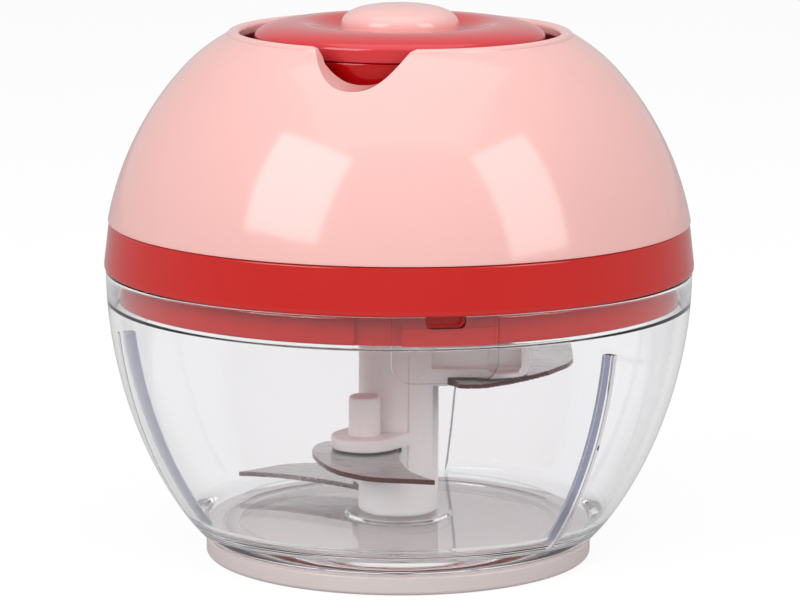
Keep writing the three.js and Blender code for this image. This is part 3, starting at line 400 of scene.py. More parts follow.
def makeSteel(name, color, lineScale, glossLow, glossHigh):
    skin = {"Color": color, "Line Scale": lineScale, "Gloss Low": glossLow, "Gloss High": glossHigh}
    return newMaterial(name, {"Metallic": 1}, brushedSkin, skin, 0.12, grainDepth)[0]


# Blade steel: ground flat faces, and a painted reflection of another colour on the cut edges round them,
# picked by which way each face points
def makeBladeSteel(name, edgeReflectionColor):
    skin = {"Color": paint(192, 190, 191), "Line Scale": (90, 1400, 300), "Gloss Low": 0.16,
            "Gloss High": 0.34}
    material, shader, _, ground = newMaterial(name, {"Metallic": 1}, brushedSkin, skin, 0.1, grainDepth)
    tree = material.node_tree
    facing = addNode(tree, "NewGeometry").outputs["True Normal"]
    upright = addNode(tree, "SeparateXYZ", {"Vector": facing}).outputs["Z"]
    size = addNode(tree, "Math", {0: upright}, operation="ABSOLUTE").outputs["Value"]
    flat = mapRange(tree, size, low=0.6, high=0.95)
    feed(tree, shader, {"Base Color": choose(tree, flat, edgeReflectionColor, ground, "RGBA")})
    return material


# Clear plastic that lets lamps through to what is behind it
def makeClearPlastic(name, color):
    values = {"IOR": 1.54, "Transmission Weight": 1}
    skin = {"Color": color, "Tone Shift": 0.015, "Gloss Low": 0, "Gloss High": 0.05}
    material, shader, output, thin = newMaterial(name, values, mouldedSkin, skin, 0.02, grainDepth)
    tree = material.node_tree
    slant = addNode(tree, "LayerWeight", {"Blend": 0.5}).outputs["Facing"]
    depth = mapRange(tree, slant, low=0.5, high=0.95, newLow=1, newHigh=0.72)
    feed(tree, shader, {"Base Color": shade(tree, thin, depth)})  # a slanting look goes through more plastic
    through = addNode(tree, "BsdfTransparent", {"Color": (0.975, 0.975, 0.975, 1)})
    shadow = addNode(tree, "LightPath").outputs["Is Shadow Ray"]
    mixed = addNode(tree, "MixShader", {"Fac": shadow, 1: shader.outputs["BSDF"], 2: through.outputs["BSDF"]})
    feed(tree, output, {"Surface": mixed.outputs["Shader"]})
    return material


clearPlastic = makeClearPlastic("clear plastic", paint(252, 252, 253))
# Painted shade: a darker blue-grey clear plastic for the ribs' flat sides, for how light falls on them, not a
# colour of the bowl
ribShadePlastic = makeClearPlastic("rib side painted shade plastic", paint(134, 136, 166))
pinkPlastic = makePlastic("pink plastic", paint(247, 192, 187), 0.03, 0.08, 0.16)
redPlastic = makePlastic("red plastic", paint(207, 38, 34), 0.05, 0.1, 0.18)
# Painted shade: a red darker than the lid base's, which stands in for the shade deep in the finger notch
# where the housing shows
housingShadedRed = makePlastic("housing red plastic darkened for notch shade", paint(192, 8, 12), 0.05, 0.08, 0.16)
handleRed = makePlastic("handle red plastic", paint(213, 56, 62), 0.04, 0.08, 0.16, 0.02)
milky = {"Subsurface Weight": 0.3, "Subsurface Radius": (0.004, 0.002, 0.002), "Subsurface Scale": 1}
paleNylon = makePlastic("pale nylon", paint(250, 246, 246), 0.03, 0.28, 0.42, extra=milky)
paleRubber = makePlastic("pale rubber", paint(226, 214, 213), 0.015, 0.3, 0.38, 0.004)
whiteAcetal = makePlastic("white acetal", paint(232, 230, 225), 0.03, 0.3, 0.45)
blackNylon = makePlastic("black nylon", paint(42, 42, 44), 0.1, 0.4, 0.6)
cordFibre = makePlastic("cord fibre", paint(226, 222, 214), 0.12, 0.75, 0.95)
# The cut edges carry a painted reflection: reddish brown for the red lid on the middle and upper blades, pale
# grey on the lower blade
bladeSteel = makeBladeSteel("blade steel", paint(98, 50, 52))
paleReflectionBladeSteel = makeBladeSteel("blade steel with pale painted edge reflection", paint(158, 148, 148))
plainSteel = makeSteel("plain steel", paint(196, 198, 200), (300, 300, 1500), 0.22, 0.4)
springSteel = makeSteel("spring steel", paint(140, 144, 152), (250, 250, 1200), 0.25, 0.45)
print("materials made")


# Foot pad
footPad = {"rimWidth": 3.5, "floor": 1.8, "lowerRound": 0.9, "edge": 0.4}


def makeFootPad():
    bottom, top, radius = spanOf("foot_pad")
    low = footPad["lowerRound"]
    inner = radius - footPad["rimWidth"]
    outline = [(0, bottom), *arc((radius - low, bottom + low), (low, low), -90, 0, 6)]
    outline += [(radius, top), (inner, top), (inner, footPad["floor"]), (0, footPad["floor"])]
    shape = softenEdges(spinOutline(outline), footPad["edge"], 3)
    finishPiece(shape, "foot_pad_moulding", "bowl_body", paleRubber, ["foot_pad"])


makeFootPad()
print("foot pad made")

# Bowl: a turned shell with ribs, rim notches and shallow panels
bowl = {
    "wall": 2.4, "rimWall": 2.2, "floor": 4.3, "baseRadius": 39.4, "swellPower": 0.83,
    "stepPower": 1.5, "baseRound": 1, "rimRound": 0.75, "ledgeRound": 0.4,
    "flatInset": 2.9, "cornerRise": 2.6, "ringWidth": 3, "ringGap": 3.8,
    "ledgeDrop": 6.3, "bossRadius": 11, "bossRise": 0.6, "pinHole": 2.3, "pinDepth": 2.2, "edge": 0.35,
    "ribCount": 3, "ribAngle": -43.5, "ribThickness": 1.8, "ribDepth": 2.2, "ribTopDrop": 10.7,
    "ribEdge": 0.45, "ribSideGap": 0.1, "ribSideShare": 0.9,
    "stations": 3, "notchAngle": -81.3, "notchWidth": 7.8, "notchDepth": 2.3,
    "panelWidth": 20.8, "panelHeight": 13, "panelDepth": 0.4, "panelCorner": 4,
}
footTop = spanOf("foot_pad")[1]
bowlLow, bowlRim, bowlRadius = spanOf("bowl")
bowlBase = footTop + seatGap
bowlFloor = bowlBase + bowl["floor"]
rimInside = bowlRadius - bowl["rimWall"]


def bowlReach(height):
    share = min(max((height - bowlBase) / (bowlRim - bowlBase), 0), 1)
    swell = (1 - (1 - share) ** 2) ** bowl["swellPower"]
    return bowl["baseRadius"] + (bowlRadius - bowl["baseRadius"]) * swell


def bowlCurve(inset, start, end, steps):
    heights = [start + (end - start) * share ** bowl["stepPower"] for share in shares(steps)]
    return [(bowlReach(height) - inset, height) for height in heights]


# An outline that is open at the top and has round corners at the bottom
def pocketOutline(width, bottom, top, corner):
    half = width / 2
    points = [(half, top), (-half, top)]
    points += arc((-half + corner, bottom + corner), (corner, corner), 180, 270, 6)
    points += arc((half - corner, bottom + corner), (corner, corner), 270, 360, 6)
    return points


def makeBowl():
    ringOuter = spanOf("foot_pad")[2] - bowl["ringGap"]
    ringInner = ringOuter - bowl["ringWidth"]
    ledge = bowlRim - bowl["ledgeDrop"]
    wallStart = bowlFloor + bowl["cornerRise"]
    flat = bowl["baseRadius"] - bowl["flatInset"]
    innerStart = bowlReach(wallStart) - bowl["wall"]
    boss = bowlFloor + bowl["bossRise"]
    corner = arc((flat, wallStart), (innerStart - flat, bowl["cornerRise"]), 0, -90, 8)
    outline = [(0, bowlBase), (ringInner, bowlBase), (ringInner, bowlLow), (ringOuter, bowlLow)]
    outline += [(ringOuter, bowlBase), (bowl["baseRadius"], bowlBase, bowl["baseRound"])]
    outline += bowlCurve(0, bowlBase + bowl["baseRound"], bowlRim - 2 * bowl["rimRound"], 40)
    outline += [(bowlRadius, bowlRim, bowl["rimRound"]), (rimInside, bowlRim, bowl["rimRound"])]
    outline += [(rimInside, ledge, bowl["ledgeRound"])]
    outline += [*reversed(bowlCurve(bowl["wall"], wallStart, ledge - bowl["ledgeRound"], 36)), *corner[1:]]
    outline += [(bowl["bossRadius"], bowlFloor), (bowl["bossRadius"] - bowl["bossRise"], boss), (0, boss)]
    shell = softenEdges(spinOutline(roundCorners(outline)), bowl["edge"], 3)
    ribs = [makeRib(angle) for angle in spreadRound(bowl["ribCount"], bowl["ribAngle"])]
    cuts = [discAt(bowl["pinHole"], boss - bowl["pinDepth"], boss + overrun, steps=32)]
    skin = [(0, bowlBase - overrun), *bowlCurve(bowl["panelDepth"], bowlBase, bowlRim, 40)]
    skin += [(bowlRadius - bowl["panelDepth"], bowlRim + 2 * overrun), (0, bowlRim + 2 * overrun)]
    inner = rimInside - overrun
    outer = bowlRadius + overrun
    notch = pocketOutline(bowl["notchWidth"], bowlRim - bowl["notchDepth"], bowlRim + overrun,
                          bowl["notchDepth"] / 2)
    panel = pocketOutline(bowl["panelWidth"], bowlRim - bowl["panelHeight"], bowlRim + overrun,
                          bowl["panelCorner"])
    for angle in spreadRound(bowl["stations"], bowl["notchAngle"]):
        cuts.append(faceOutward(raiseOutline(notch, inner, outer), angle))
        block = faceOutward(raiseOutline(panel, inner, outer), angle)
        cuts.append(carve(block, cut=[spinOutline(skin)]))
    shape = carve(shell, join=ribs, cut=cuts)
    moulding = finishPiece(shape, "bowl_moulding", "bowl_body", clearPlastic, ["bowl"])
    # The ribs' flat sides get the darker clear plastic, as painted shade
    moulding.data.materials.append(ribShadePlastic)
    for face in moulding.data.polygons:
        if isRibSide(face):
            face.material_index = 1


# True for the flat sides of the ribs, which get a darker blue-grey painted shade while the edges beside them
# stay bright
def isRibSide(face):
    place = face.center / millimetre
    if not bowlFloor + bowl["cornerRise"] < place.z < bowlRim - bowl["ribTopDrop"]:
        return False
    if place.xy.length > bowlReach(place.z) - bowl["wall"] - bowl["ribSideGap"]:
        return False
    ways = [Vector((*polar(1, angle), 0)) for angle in spreadRound(bowl["ribCount"], bowl["ribAngle"])]
    sides = [Vector((-way.y, way.x, 0)) for way in ways]
    return any(place.dot(way) > 0 and abs(place.dot(side)) < bowl["ribThickness"]
               and abs(face.normal.dot(side)) > bowl["ribSideShare"] for way, side in zip(ways, sides))


def makeRib(angle):
    top = bowlRim - bowl["ribTopDrop"]
    bottom = bowlFloor - bowl["floor"] / 3
    half = bowl["ribThickness"] / 2
    inside = bowlCurve(bowl["wall"] + bowl["ribDepth"], bottom, top, 18)
    outside = bowlCurve(bowl["wall"] / 2, bottom, top, 18)
    rib = raiseOutline([*inside, *reversed(outside)], -half, half)
    return standOnRadius(softenEdges(rib, bowl["ribEdge"], 4), angle)


makeBowl()
print("bowl made")

# Lid base: the red band, the skirt inside the bowl's rim and the sleeve that the spool turns on
lidBase = {
    "rimGap": 0.08, "bandHeight": 9.3, "bandUpright": 1, "bandTaper": 1, "bandWall": 2.6, "bandEdge": 0.45,
    "floor": 2.2, "skirtGap": 0.9, "skirtWall": 2, "thrustRadius": 9, "thrustHeight": 2.3,
    "sleeveBore": 4.8, "sleeveWall": 1.7,
    "tabAngles": (-89.5, -70.7), "tabHeight": 3.4, "tabRise": 0.5, "tabRoot": 1,
    "channelAngles": (-98.5, -89.5), "channelDepth": 0.8,
    "domeBoss": 4.2, "domeBossRise": 3.2, "headHole": 2.7, "headDepth": 2,
    "housingBoss": 3.2, "shankHole": 1.5, "shankDepth": 5.3,
}
bandBottom = bowlRim + seatGap
bandTop = bandBottom + lidBase["bandHeight"]
lidFloor = bandBottom + lidBase["floor"]
skirtBottom, sleeveTop, bandRadius = spanOf("lid_base")
bandTopRadius = bandRadius - lidBase["bandTaper"]
bandInside = bandTopRadius - lidBase["bandWall"]


# The screws of a kind, each with its lower end and its middle in plan, from the box of its node
def screwPlaces(kind):
    places = []
    for node in sorted(name for name in nodes if name.startswith(kind)):
        low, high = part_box(node)
        middle = (low + high) / 2 / millimetre
        places.append((low.z / millimetre, (middle.x, middle.y)))
    return places


def makeLidBase():
    skirt = rimInside - lidBase["skirtGap"]
    inner = skirt - lidBase["skirtWall"]
    sleeve = lidBase["sleeveBore"] + lidBase["sleeveWall"]
    thrust = lidFloor + lidBase["thrustHeight"]
    lowEdge = bowlRim + lidBase["rimGap"]
    upright = bandBottom + lidBase["bandUpright"]
    outline = [
        (lidBase["sleeveBore"], bandBottom), (inner, bandBottom), (inner, skirtBottom), (skirt, skirtBottom),
        (skirt, lowEdge), (bandRadius, lowEdge), (bandRadius, upright), (bandTopRadius, bandTop),
        (bandInside, bandTop), (bandInside, lidFloor),
        (lidBase["thrustRadius"], lidFloor), (lidBase["thrustRadius"], thrust), (sleeve, thrust),
        (sleeve, sleeveTop), (lidBase["sleeveBore"], sleeveTop),
    ]
    body = softenEdges(spinOutline(outline), lidBase["bandEdge"], 3)
    inside = lidFloor - lidBase["floor"] / 2
    shank = lidBase["shankHole"]
    join = []
    cut = []
    for shift in spreadRound(bowl["stations"]):
        tab = [angle + shift for angle in lidBase["tabAngles"]]
        channel = [angle + shift for angle in lidBase["channelAngles"]]
        join.append(ringStretch(skirt - lidBase["tabRoot"], skirt + lidBase["tabRise"], skirtBottom,
                                skirtBottom + lidBase["tabHeight"], tab))
        cut.append(ringStretch(skirt - lidBase["channelDepth"], skirt + overrun, skirtBottom - overrun,
                               bandBottom, channel))
    bossTop = lidFloor + lidBase["domeBossRise"]
    headTop = bandBottom + lidBase["headDepth"]
    for _, place in screwPlaces("dome_screw"):
        join.append(discAt(lidBase["domeBoss"], inside, bossTop, place))
        cut.append(discAt(lidBase["headHole"], bandBottom - overrun, headTop, place))
        cut.append(discAt(shank, bandBottom, bossTop + overrun, place, 24))
    for tip, place in screwPlaces("housing_screw"):
        bossTop = tip + lidBase["shankDepth"] - seatGap
        join.append(discAt(lidBase["housingBoss"], inside, bossTop, place))
        cut.append(discAt(shank, bossTop - lidBase["shankDepth"], bossTop + overrun, place, 24))
    shape = carve(body, join, cut)
    finishPiece(shape, "lid_base_moulding", "lid_body", redPlastic, ["lid_base"])


makeLidBase()
print("lid base made")

# Dome cover: a swelling shell with a plug inside the band, a rolled lip and the finger notch
dome = {
    "rise": 61.8, "centreDrop": 11.5, "wall": 2.5, "mouthRadius": 32.4, "lipWidth": 2.5, "lipRise": 0.85,
    "shoulderRadius": 43.5, "shoulderDrop": 1.1, "shoulderPower": 1.5, "footGap": 0.08,
    "plugDepth": 2.5, "plugWall": 1.6, "plugGap": 0.3, "fingerAngle": -102.6, "fingerWidth": 19.4,
    "fingerDepth": 7.25, "fingerPower": 0.41, "fingerCorner": 0.8, "fingerSteps": 28, "fingerInset": 3,
    "hoodWall": 2.2, "hoodSetback": 0.5, "edge": 0.3,
}
domeBottom = bandTop + seatGap
domeCentre = bandTop - dome["centreDrop"]
domeFoot = spanOf("dome_cover")[2]
domeReach = domeFoot / math.sqrt(1 - ((domeBottom - domeCentre) / dome["rise"]) ** 2)


def domeCurve(inset, bottom, mouth, steps):
    reach = domeReach - inset
    rise = dome["rise"] - inset
    start = math.degrees(math.asin((bottom - domeCentre) / rise))
    end = math.degrees(math.acos(mouth / reach))
    shoulder = dome["shoulderRadius"]
    lowered = []
    for radius, height in arc((0, domeCentre), (reach, rise), start, end, steps):
        share = (shoulder - radius) / (shoulder - dome["mouthRadius"] - dome["lipWidth"])
        drop = dome["shoulderDrop"] * min(max(share, 0), 1) ** dome["shoulderPower"]
        lowered.append((radius, height - drop))
    return lowered


# Round at the bottom and flaring toward the mouth, with its top corners turned out
def fingerOutline(top):
    half = dome["fingerWidth"] / 2
    depth = dome["fingerDepth"]
    corner = dome["fingerCorner"]
    side = []
    for share in shares(dome["fingerSteps"]):
        rise = depth * share ** 2
        flare = corner - math.sqrt(max(corner ** 2 - max(rise - depth + corner, 0) ** 2, 0))
        side.append((half * (rise / depth) ** dome["fingerPower"] + flare, top - depth + rise))
    right = [*side, (side[-1][0], top + overrun)]
    left = [(-x, height) for x, height in reversed(right[1:])]
    return right + left


def makeDome():
    lip = dome["mouthRadius"] + dome["lipWidth"]
    foot = bandTop + dome["footGap"]
    outside = domeCurve(0, foot, lip, 60)
    lipHeight = outside[-1][1]
    plugOuter = bandInside - dome["plugGap"]
    plugInner = plugOuter - dome["plugWall"]
    inReach = domeReach - dome["wall"]
    meet = domeCentre + (dome["rise"] - dome["wall"]) * math.sqrt(1 - (plugInner / inReach) ** 2)
    inside = domeCurve(dome["wall"], meet, dome["mouthRadius"], 36)
    middle = dome["mouthRadius"] + dome["lipWidth"] / 2
    roll = arc((middle, lipHeight), (dome["lipWidth"] / 2, dome["lipRise"]), 0, 180, 8)
    outline = [(plugInner, domeBottom - dome["plugDepth"]), (plugOuter, domeBottom - dome["plugDepth"]),
               (plugOuter, foot), *outside, *roll[1:], *reversed(inside)]
    shell = softenEdges(spinOutline(outline), dome["edge"], 2, leastAngle=50)
    notch = fingerOutline(lipHeight + dome["lipRise"])
    inner = dome["mouthRadius"] - dome["fingerInset"]
    finger = faceOutward(raiseOutline(notch, inner, domeReach), dome["fingerAngle"])
    front = dome["mouthRadius"] + dome["hoodSetback"]
    grown = raiseOutline(growOutline(notch, dome["hoodWall"]), front, domeReach)
    fill = [(0, domeBottom), *domeCurve(dome["wall"] / 2, domeBottom, lip, 44), (0, lipHeight)]
    hood = carve(faceOutward(grown, dome["fingerAngle"]), keep=[spinOutline(fill)])
    shape = carve(shell, join=[hood], cut=[finger])
    finishPiece(shape, "dome_moulding", "lid_body", pinkPlastic, ["dome_cover"])


makeDome()
print("dome made")

# Mechanism housing: its collar carries the handle and shows in the finger notch
housing = {
    "wall": 2.2, "radius": 30.6, "collarInset": 0.2, "collarEdge": 0.7, "collarTurn": -75, "neckInset": 1.9,
    "waistInset": 2.8, "waistDrop": 13.7, "shoulderDrop": 23.7, "recessRadius": 7.6, "recessDepth": 3.9,
    "bushHole": 2.7, "edge": 0.35,
}
seatTop = spanOf("mechanism_housing")[1]
recessFloor = seatTop - housing["recessDepth"]
handleRadius = spanOf("pull_handle")[2]


def makeHousing():
    wall = housing["wall"]
    collar = handleRadius - housing["collarInset"]
    neck = handleRadius - housing["neckInset"]
    waist = handleRadius - housing["waistInset"]
    waistHeight = seatTop - housing["waistDrop"]
    neckHeight = (seatTop + waistHeight) / 2
    shoulder = seatTop - housing["shoulderDrop"]
    wide = housing["radius"]
    bottom = lidFloor + seatGap
    under = recessFloor - wall
    recess = housing["recessRadius"]
    bulge = (collar - waist, seatTop - waistHeight)
    outline = [
        (wide - wall, bottom), (wide, bottom), (wide, shoulder), (waist, waistHeight),
        *arc((waist, seatTop - housing["collarEdge"]), bulge, housing["collarTurn"], 0, 10),
        (collar, seatTop), (recess, seatTop), (recess, recessFloor), (housing["bushHole"], recessFloor),
        (housing["bushHole"], under), (recess + wall, under), (recess + wall, seatTop - wall),
        (neck - wall, seatTop - wall), (neck - wall, neckHeight), (waist - wall, waistHeight),
        (wide - wall, shoulder),
    ]
    body = softenEdges(spinOutline(outline), housing["edge"], 2)
    finishPiece(body, "housing_moulding", "lid_body", housingShadedRed, ["mechanism_housing"])


makeHousing()
print("housing made")

# Pull handle: a rolled rim, a crest and a dish that falls to the cap
handle = {
    "rimGap": 0.1, "side": 2.05, "crestInset": 8.9, "wall": 2.2, "rimWidth": 2.6, "hubRadius": 7, "bore": 1.2,
    "eyeletRoom": 4.9, "roomHeight": 1, "capRecess": 2.1, "capRadius": 11.9, "dishRise": 0.85,
    "dishSteps": 18, "pocketRadius": 4.8, "pocketFloor": 3.2, "edge": 0.3,
}


def makeHandle():
    low, crestHeight, radius = spanOf("pull_handle")
    bottom = seatTop + seatGap
    crest = radius - handle["crestInset"]
    recess = handle["capRadius"] + seatGap
    recessHeight = bottom + handle["capRecess"]
    dishHeight = recessHeight + handle["dishRise"]
    side = bottom + handle["side"]
    under = crestHeight - handle["wall"]
    dish = []
    for share in shares(handle["dishSteps"])[1:]:
        fall = (1 - math.cos(math.pi * share)) / 2
        dish.append((crest + (recess - crest) * share, crestHeight + (dishHeight - crestHeight) * fall))
    rim = radius - handle["rimWidth"]
    room = low + handle["roomHeight"]
    pocket = recessFloor + handle["pocketFloor"]
    rimBottom = seatTop + handle["rimGap"]
    outline = [
        (handle["bore"], room), (handle["eyeletRoom"], room), (handle["eyeletRoom"], low),
        (handle["hubRadius"], low), (handle["hubRadius"], bottom), (recess + handle["wall"], bottom),
        (crest, under), (rim - handle["wall"], under), (rim, under - handle["wall"] / 2), (rim, rimBottom),
        (radius, rimBottom), *arc((crest, side), (radius - crest, crestHeight - side), 0, 90, 20), *dish,
        (recess, recessHeight), (handle["pocketRadius"], recessHeight), (handle["pocketRadius"], pocket),
        (handle["bore"], pocket),
    ]
    shape = softenEdges(spinOutline(outline), handle["edge"], 3)
    finishPiece(shape, "handle_moulding", "handle_body", handleRed, ["pull_handle"])


cap = {"wall": 1.7, "side": 1.7, "fullness": 2.5, "edge": 0.3}


# A quarter of a superellipse, from its side to its top
def capCurve(radius, side, rise, steps=30):
    points = []
    for step in range(steps):
        turn = math.pi / 2 * step / steps
        across, up = [share ** (2 / cap["fullness"]) for share in (math.cos(turn), math.sin(turn))]
        points.append((radius * across, side + rise * up))
    return [*points, (0, side + rise)]


def makeHandleCap():
    bottom, top, radius = spanOf("handle_cap")
    side = bottom + cap["side"]
    outside = capCurve(radius, side, top - side)
    inside = capCurve(radius - cap["wall"], side, top - side - cap["wall"])
    outline = [*reversed(inside), (radius - cap["wall"], bottom), (radius, bottom), *outside]
    shape = softenEdges(spinOutline(outline, 128), cap["edge"], 3, leastAngle=50)
    finishPiece(shape, "cap_moulding", "handle_body", pinkPlastic, ["handle_cap"])


makeHandle()
makeHandleCap()
print("handle made")

# Blade post: a column with a lug over each lower blade, a stirring peg and an upper arm with a recessed front
post = {
    "radius": 8.2, "footRound": 1, "lugRadius": 6.8, "lugReach": 11.7, "lugThickness": 2.6,
    "lowerAngle": 104, "middleAngle": -126, "armAngle": -3, "armReach": 26.69, "armHeight": 7.1,
    "rootReach": 12.3, "rootWidth": 13, "rootDrop": 0.2, "pegRadius": 3.22, "pegHeight": 7.9, "pegRound": 0.7,
    "pocketRail": 1.8, "pocketHeight": 3.7, "innerPocket": (7, 18.4, 2), "outerPocket": (18.2, 25.2, 4.4),
    "boreRadius": 2.4, "boreTop": 20.4, "driveFlats": 9.8, "driveDepth": 6.3, "edge": 0.45,
}


# An outline from the axis out to a round end
def tongueOutline(reach):
    radius = post["lugRadius"]
    return [(0, -radius), *arc((reach - radius, 0), (radius, radius), -90, 90, 28), (0, radius)]


def blockAt(start, end, near, far, bottom, top):
    return raiseOutline([(start, near), (end, near), (end, far), (start, far)], bottom, top)


# A CAD node's shape in millimetres, with its flat faces whole
def cadShape(node):
    shape = bmesh.new()
    shape.from_mesh(nodes[node].data)
    shape.transform(nodes[node].matrix_world)
    bmesh.ops.scale(shape, vec=(1 / millimetre,) * 3, verts=shape.verts)
    bmesh.ops.remove_doubles(shape, verts=shape.verts, dist=weldDistance)
    bmesh.ops.dissolve_limit(shape, angle_limit=math.radians(flatAngle), verts=shape.verts, edges=shape.edges)
    shape.normal_update()
    return shape


# The space that a blade fills in the post, with its seat's gap all round
def bladeSlot(node):
    shape = cadShape(node)
    moves = [(corner, corner.normal * corner.calc_shell_factor() * seatGap) for corner in shape.verts]
    for corner, move in moves:
        corner.co += move
    return shape


def makeBladePost():
    bottom, top, _ = spanOf("blade_post")
    radius = post["radius"]
    column = [(0, bottom), (radius, bottom, post["footRound"]), (radius, top, post["edge"]), (0, top)]
    body = spinOutline(roundCorners(column), 96)
    join = []
    for node, angle in (("lower_blade", post["lowerAngle"]), ("middle_blade", post["middleAngle"])):
        seat = spanOf(node)[1] + seatGap
        tongue = tongueOutline(post["lugReach"] + post["lugRadius"])
        lug = raiseOutline(tongue, seat, seat + post["lugThickness"])
        join.append(turnShape(softenEdges(lug, post["edge"], 3, leastAngle=50), angle))
    pegTop = seat + post["lugThickness"] + post["pegHeight"]
    peg = [(0, seat + overrun), (post["pegRadius"], seat + overrun),
           (post["pegRadius"], pegTop, post["pegRound"]), (0, pegTop)]
    join.append(moveShape(spinOutline(roundCorners(peg), 48), *polar(post["lugReach"], post["middleAngle"])))
    bladeBottom, bladeTop, _ = spanOf("upper_blade")
    seat = bladeTop + seatGap
    arm = raiseOutline(tongueOutline(post["armReach"]), seat, seat + post["armHeight"])
    join.append(turnShape(softenEdges(arm, post["edge"], 3, leastAngle=50), post["armAngle"]))
    half = post["rootWidth"] / 2
    root = blockAt(0, post["rootReach"], -half, half, bladeBottom - post["rootDrop"], seat + overrun)
    join.append(turnShape(softenEdges(root, post["edge"], 3), post["armAngle"]))
    cut = [bladeSlot(node) for node in ("lower_blade", "middle_blade", "upper_blade")]
    for start, end, depth in (post["innerPocket"], post["outerPocket"]):
        rail = seat + post["pocketRail"]
        front = -post["lugRadius"]
        pocket = blockAt(start, end, front - overrun, front + depth, rail, rail + post["pocketHeight"])
        cut.append(turnShape(softenEdges(pocket, post["edge"], 3), post["armAngle"]))
    cut.append(discAt(post["boreRadius"], bottom - overrun, post["boreTop"]))
    corner = post["driveFlats"] / math.sqrt(3)
    hexagon = [polar(corner, angle) for angle in spreadRound(6)]
    cut.append(raiseOutline(hexagon, top - post["driveDepth"], top + overrun))
    shape = carve(body, join, cut)
    finishPiece(shape, "blade_post_moulding", "blade_body", paleNylon, ["blade_post"],
                smoothAngle=40)


makeBladePost()
print("blade post made")

# Blades: flat plates with eased edges; the upper one has teeth along the front of its outer part
blade = {"edge": 0.1, "toothStart": 13, "toothPitch": 1.5, "toothDepth": 0.4, "frontShare": 0.6}


def cutTeeth(points):
    toothed = []
    for place, point in enumerate(points):
        here, beyond = Vector(point), Vector(points[(place + 1) % len(points)])
        toothed.append(point)
        along = beyond - here
        outward = Vector((along.y, -along.x)).normalized()
        if outward.y > -blade["frontShare"] or min(here.x, beyond.x) < blade["toothStart"]:
            continue
        teeth = max(1, round(along.length / blade["toothPitch"]))
        for tooth in range(teeth):
            toothed.append(tuple(here + along * ((tooth + 0.5) / teeth) - outward * blade["toothDepth"]))
            if tooth < teeth - 1:
                toothed.append(tuple(here + along * ((tooth + 1) / teeth)))
    return toothed


def makeBlade(node, material, toothed=False):
    bottom, top, _ = spanOf(node)
    solid = cadShape(node)
    face = max(solid.faces, key=lambda side: side.normal.z * side.calc_area())
    outline = [tuple(corner.co.xy) for corner in face.verts]
    solid.free()
    if toothed:
        outline = cutTeeth(outline)
    shape = softenEdges(raiseOutline(outline, bottom, top), blade["edge"], 2, leastAngle=60)
    finishPiece(shape, node + "_plate", "blade_body", material, [node], smoothAngle=30)


makeBlade("lower_blade", paleReflectionBladeSteel)
makeBlade("middle_blade", bladeSteel)
makeBlade("upper_blade", bladeSteel, True)
print("blades made")

# Cord: wound on the drum, led through the guide and up to the eyelet, with a tail that draws out and a knot
cord = {
    "radius": 0.88, "reach": 18.2, "turns": 3.5, "pitch": 2.3, "exitAngle": 100, "stepsPerTurn": 60,
    "guideReach": 26, "guideBend": 6.6, "topDrop": 4.35, "topBend": 2.9, "bendSteps": 14, "leadSteps": 12,
    "eyeletTop": 0.7, "tailSteps": 16, "knotRadius": 0.6, "knotReach": 0.45, "knotRise": 1.3,
    "knotSteps": 109, "knotEnd": 0.02, "smoothAngle": 80,
}


def cordPath():
    exitHeight = spanOf("pull_cord")[0] + cord["radius"] + cord["pitch"] * cord["turns"]
    points = []
    steps = int(cord["stepsPerTurn"] * cord["turns"])
    for step in range(steps):
        left = cord["turns"] * (1 - step / steps)
        place = polar(cord["reach"], cord["exitAngle"] + 360 * left)
        points.append(Vector((*place, exitHeight - cord["pitch"] * left)))
    start = Vector((*polar(cord["reach"], cord["exitAngle"]), exitHeight))
    away = Vector((*polar(1, cord["exitAngle"] - 90), 0))
    guide = start + away * math.sqrt(cord["guideReach"] ** 2 - cord["reach"] ** 2)
    top = Vector((0, 0, recessFloor - cord["topDrop"]))
    rise = (top - guide).normalized()
    points.append(start)
    before = away * cord["guideBend"]
    after = rise * cord["guideBend"]
    points += bendPoints(guide - before, guide, guide + after, cord["bendSteps"])
    upright = Vector((0, 0, cord["topBend"]))
    upper = bendPoints(top - rise * cord["topBend"], top, top + upright, cord["bendSteps"])
    lead = points[-1]
    points += [lead.lerp(upper[0], share) for share in shares(cord["leadSteps"])[1:-1]]
    end = Vector((0, 0, recessFloor + cord["eyeletTop"]))
    return [*points, *upper, upper[-1].lerp(end, 0.5), end]


def makeBraid(points, radius, name, body, node):
    return finishPiece(sweepTube(points, radius), name, body, cordFibre, [node], cord["smoothAngle"])


# A trefoil knot whose two ends stop a little short of each other
def knotPath():
    low, high, _ = spanOf("cord_knot")
    points = []
    for share in shares(cord["knotSteps"]):
        turn = math.tau * (cord["knotEnd"] + (1 - 2 * cord["knotEnd"]) * share)
        x = math.sin(turn) + 2 * math.sin(2 * turn)
        y = math.cos(turn) - 2 * math.cos(2 * turn)
        height = (low + high) / 2 - cord["knotRise"] * math.sin(3 * turn)
        points.append(Vector((x * cord["knotReach"], y * cord["knotReach"], height)))
    return points


def makeCord():
    makeBraid(cordPath(), cord["radius"], "pull_cord_braid", "lid_body", "pull_cord")
    low, high, _ = spanOf("pull_cord_tail")
    steps = cord["tailSteps"]
    line = [Vector((0, 0, low + (high - low) * step / steps)) for step in range(steps + 1)]
    tail = makeBraid(line, cord["radius"], "cord_tail_braid", None, "pull_cord_tail")
    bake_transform(tail)
    makeBraid(knotPath(), cord["knotRadius"], "cord_knot_braid", "handle_body", "cord_knot")


makeCord()
print("cord made")

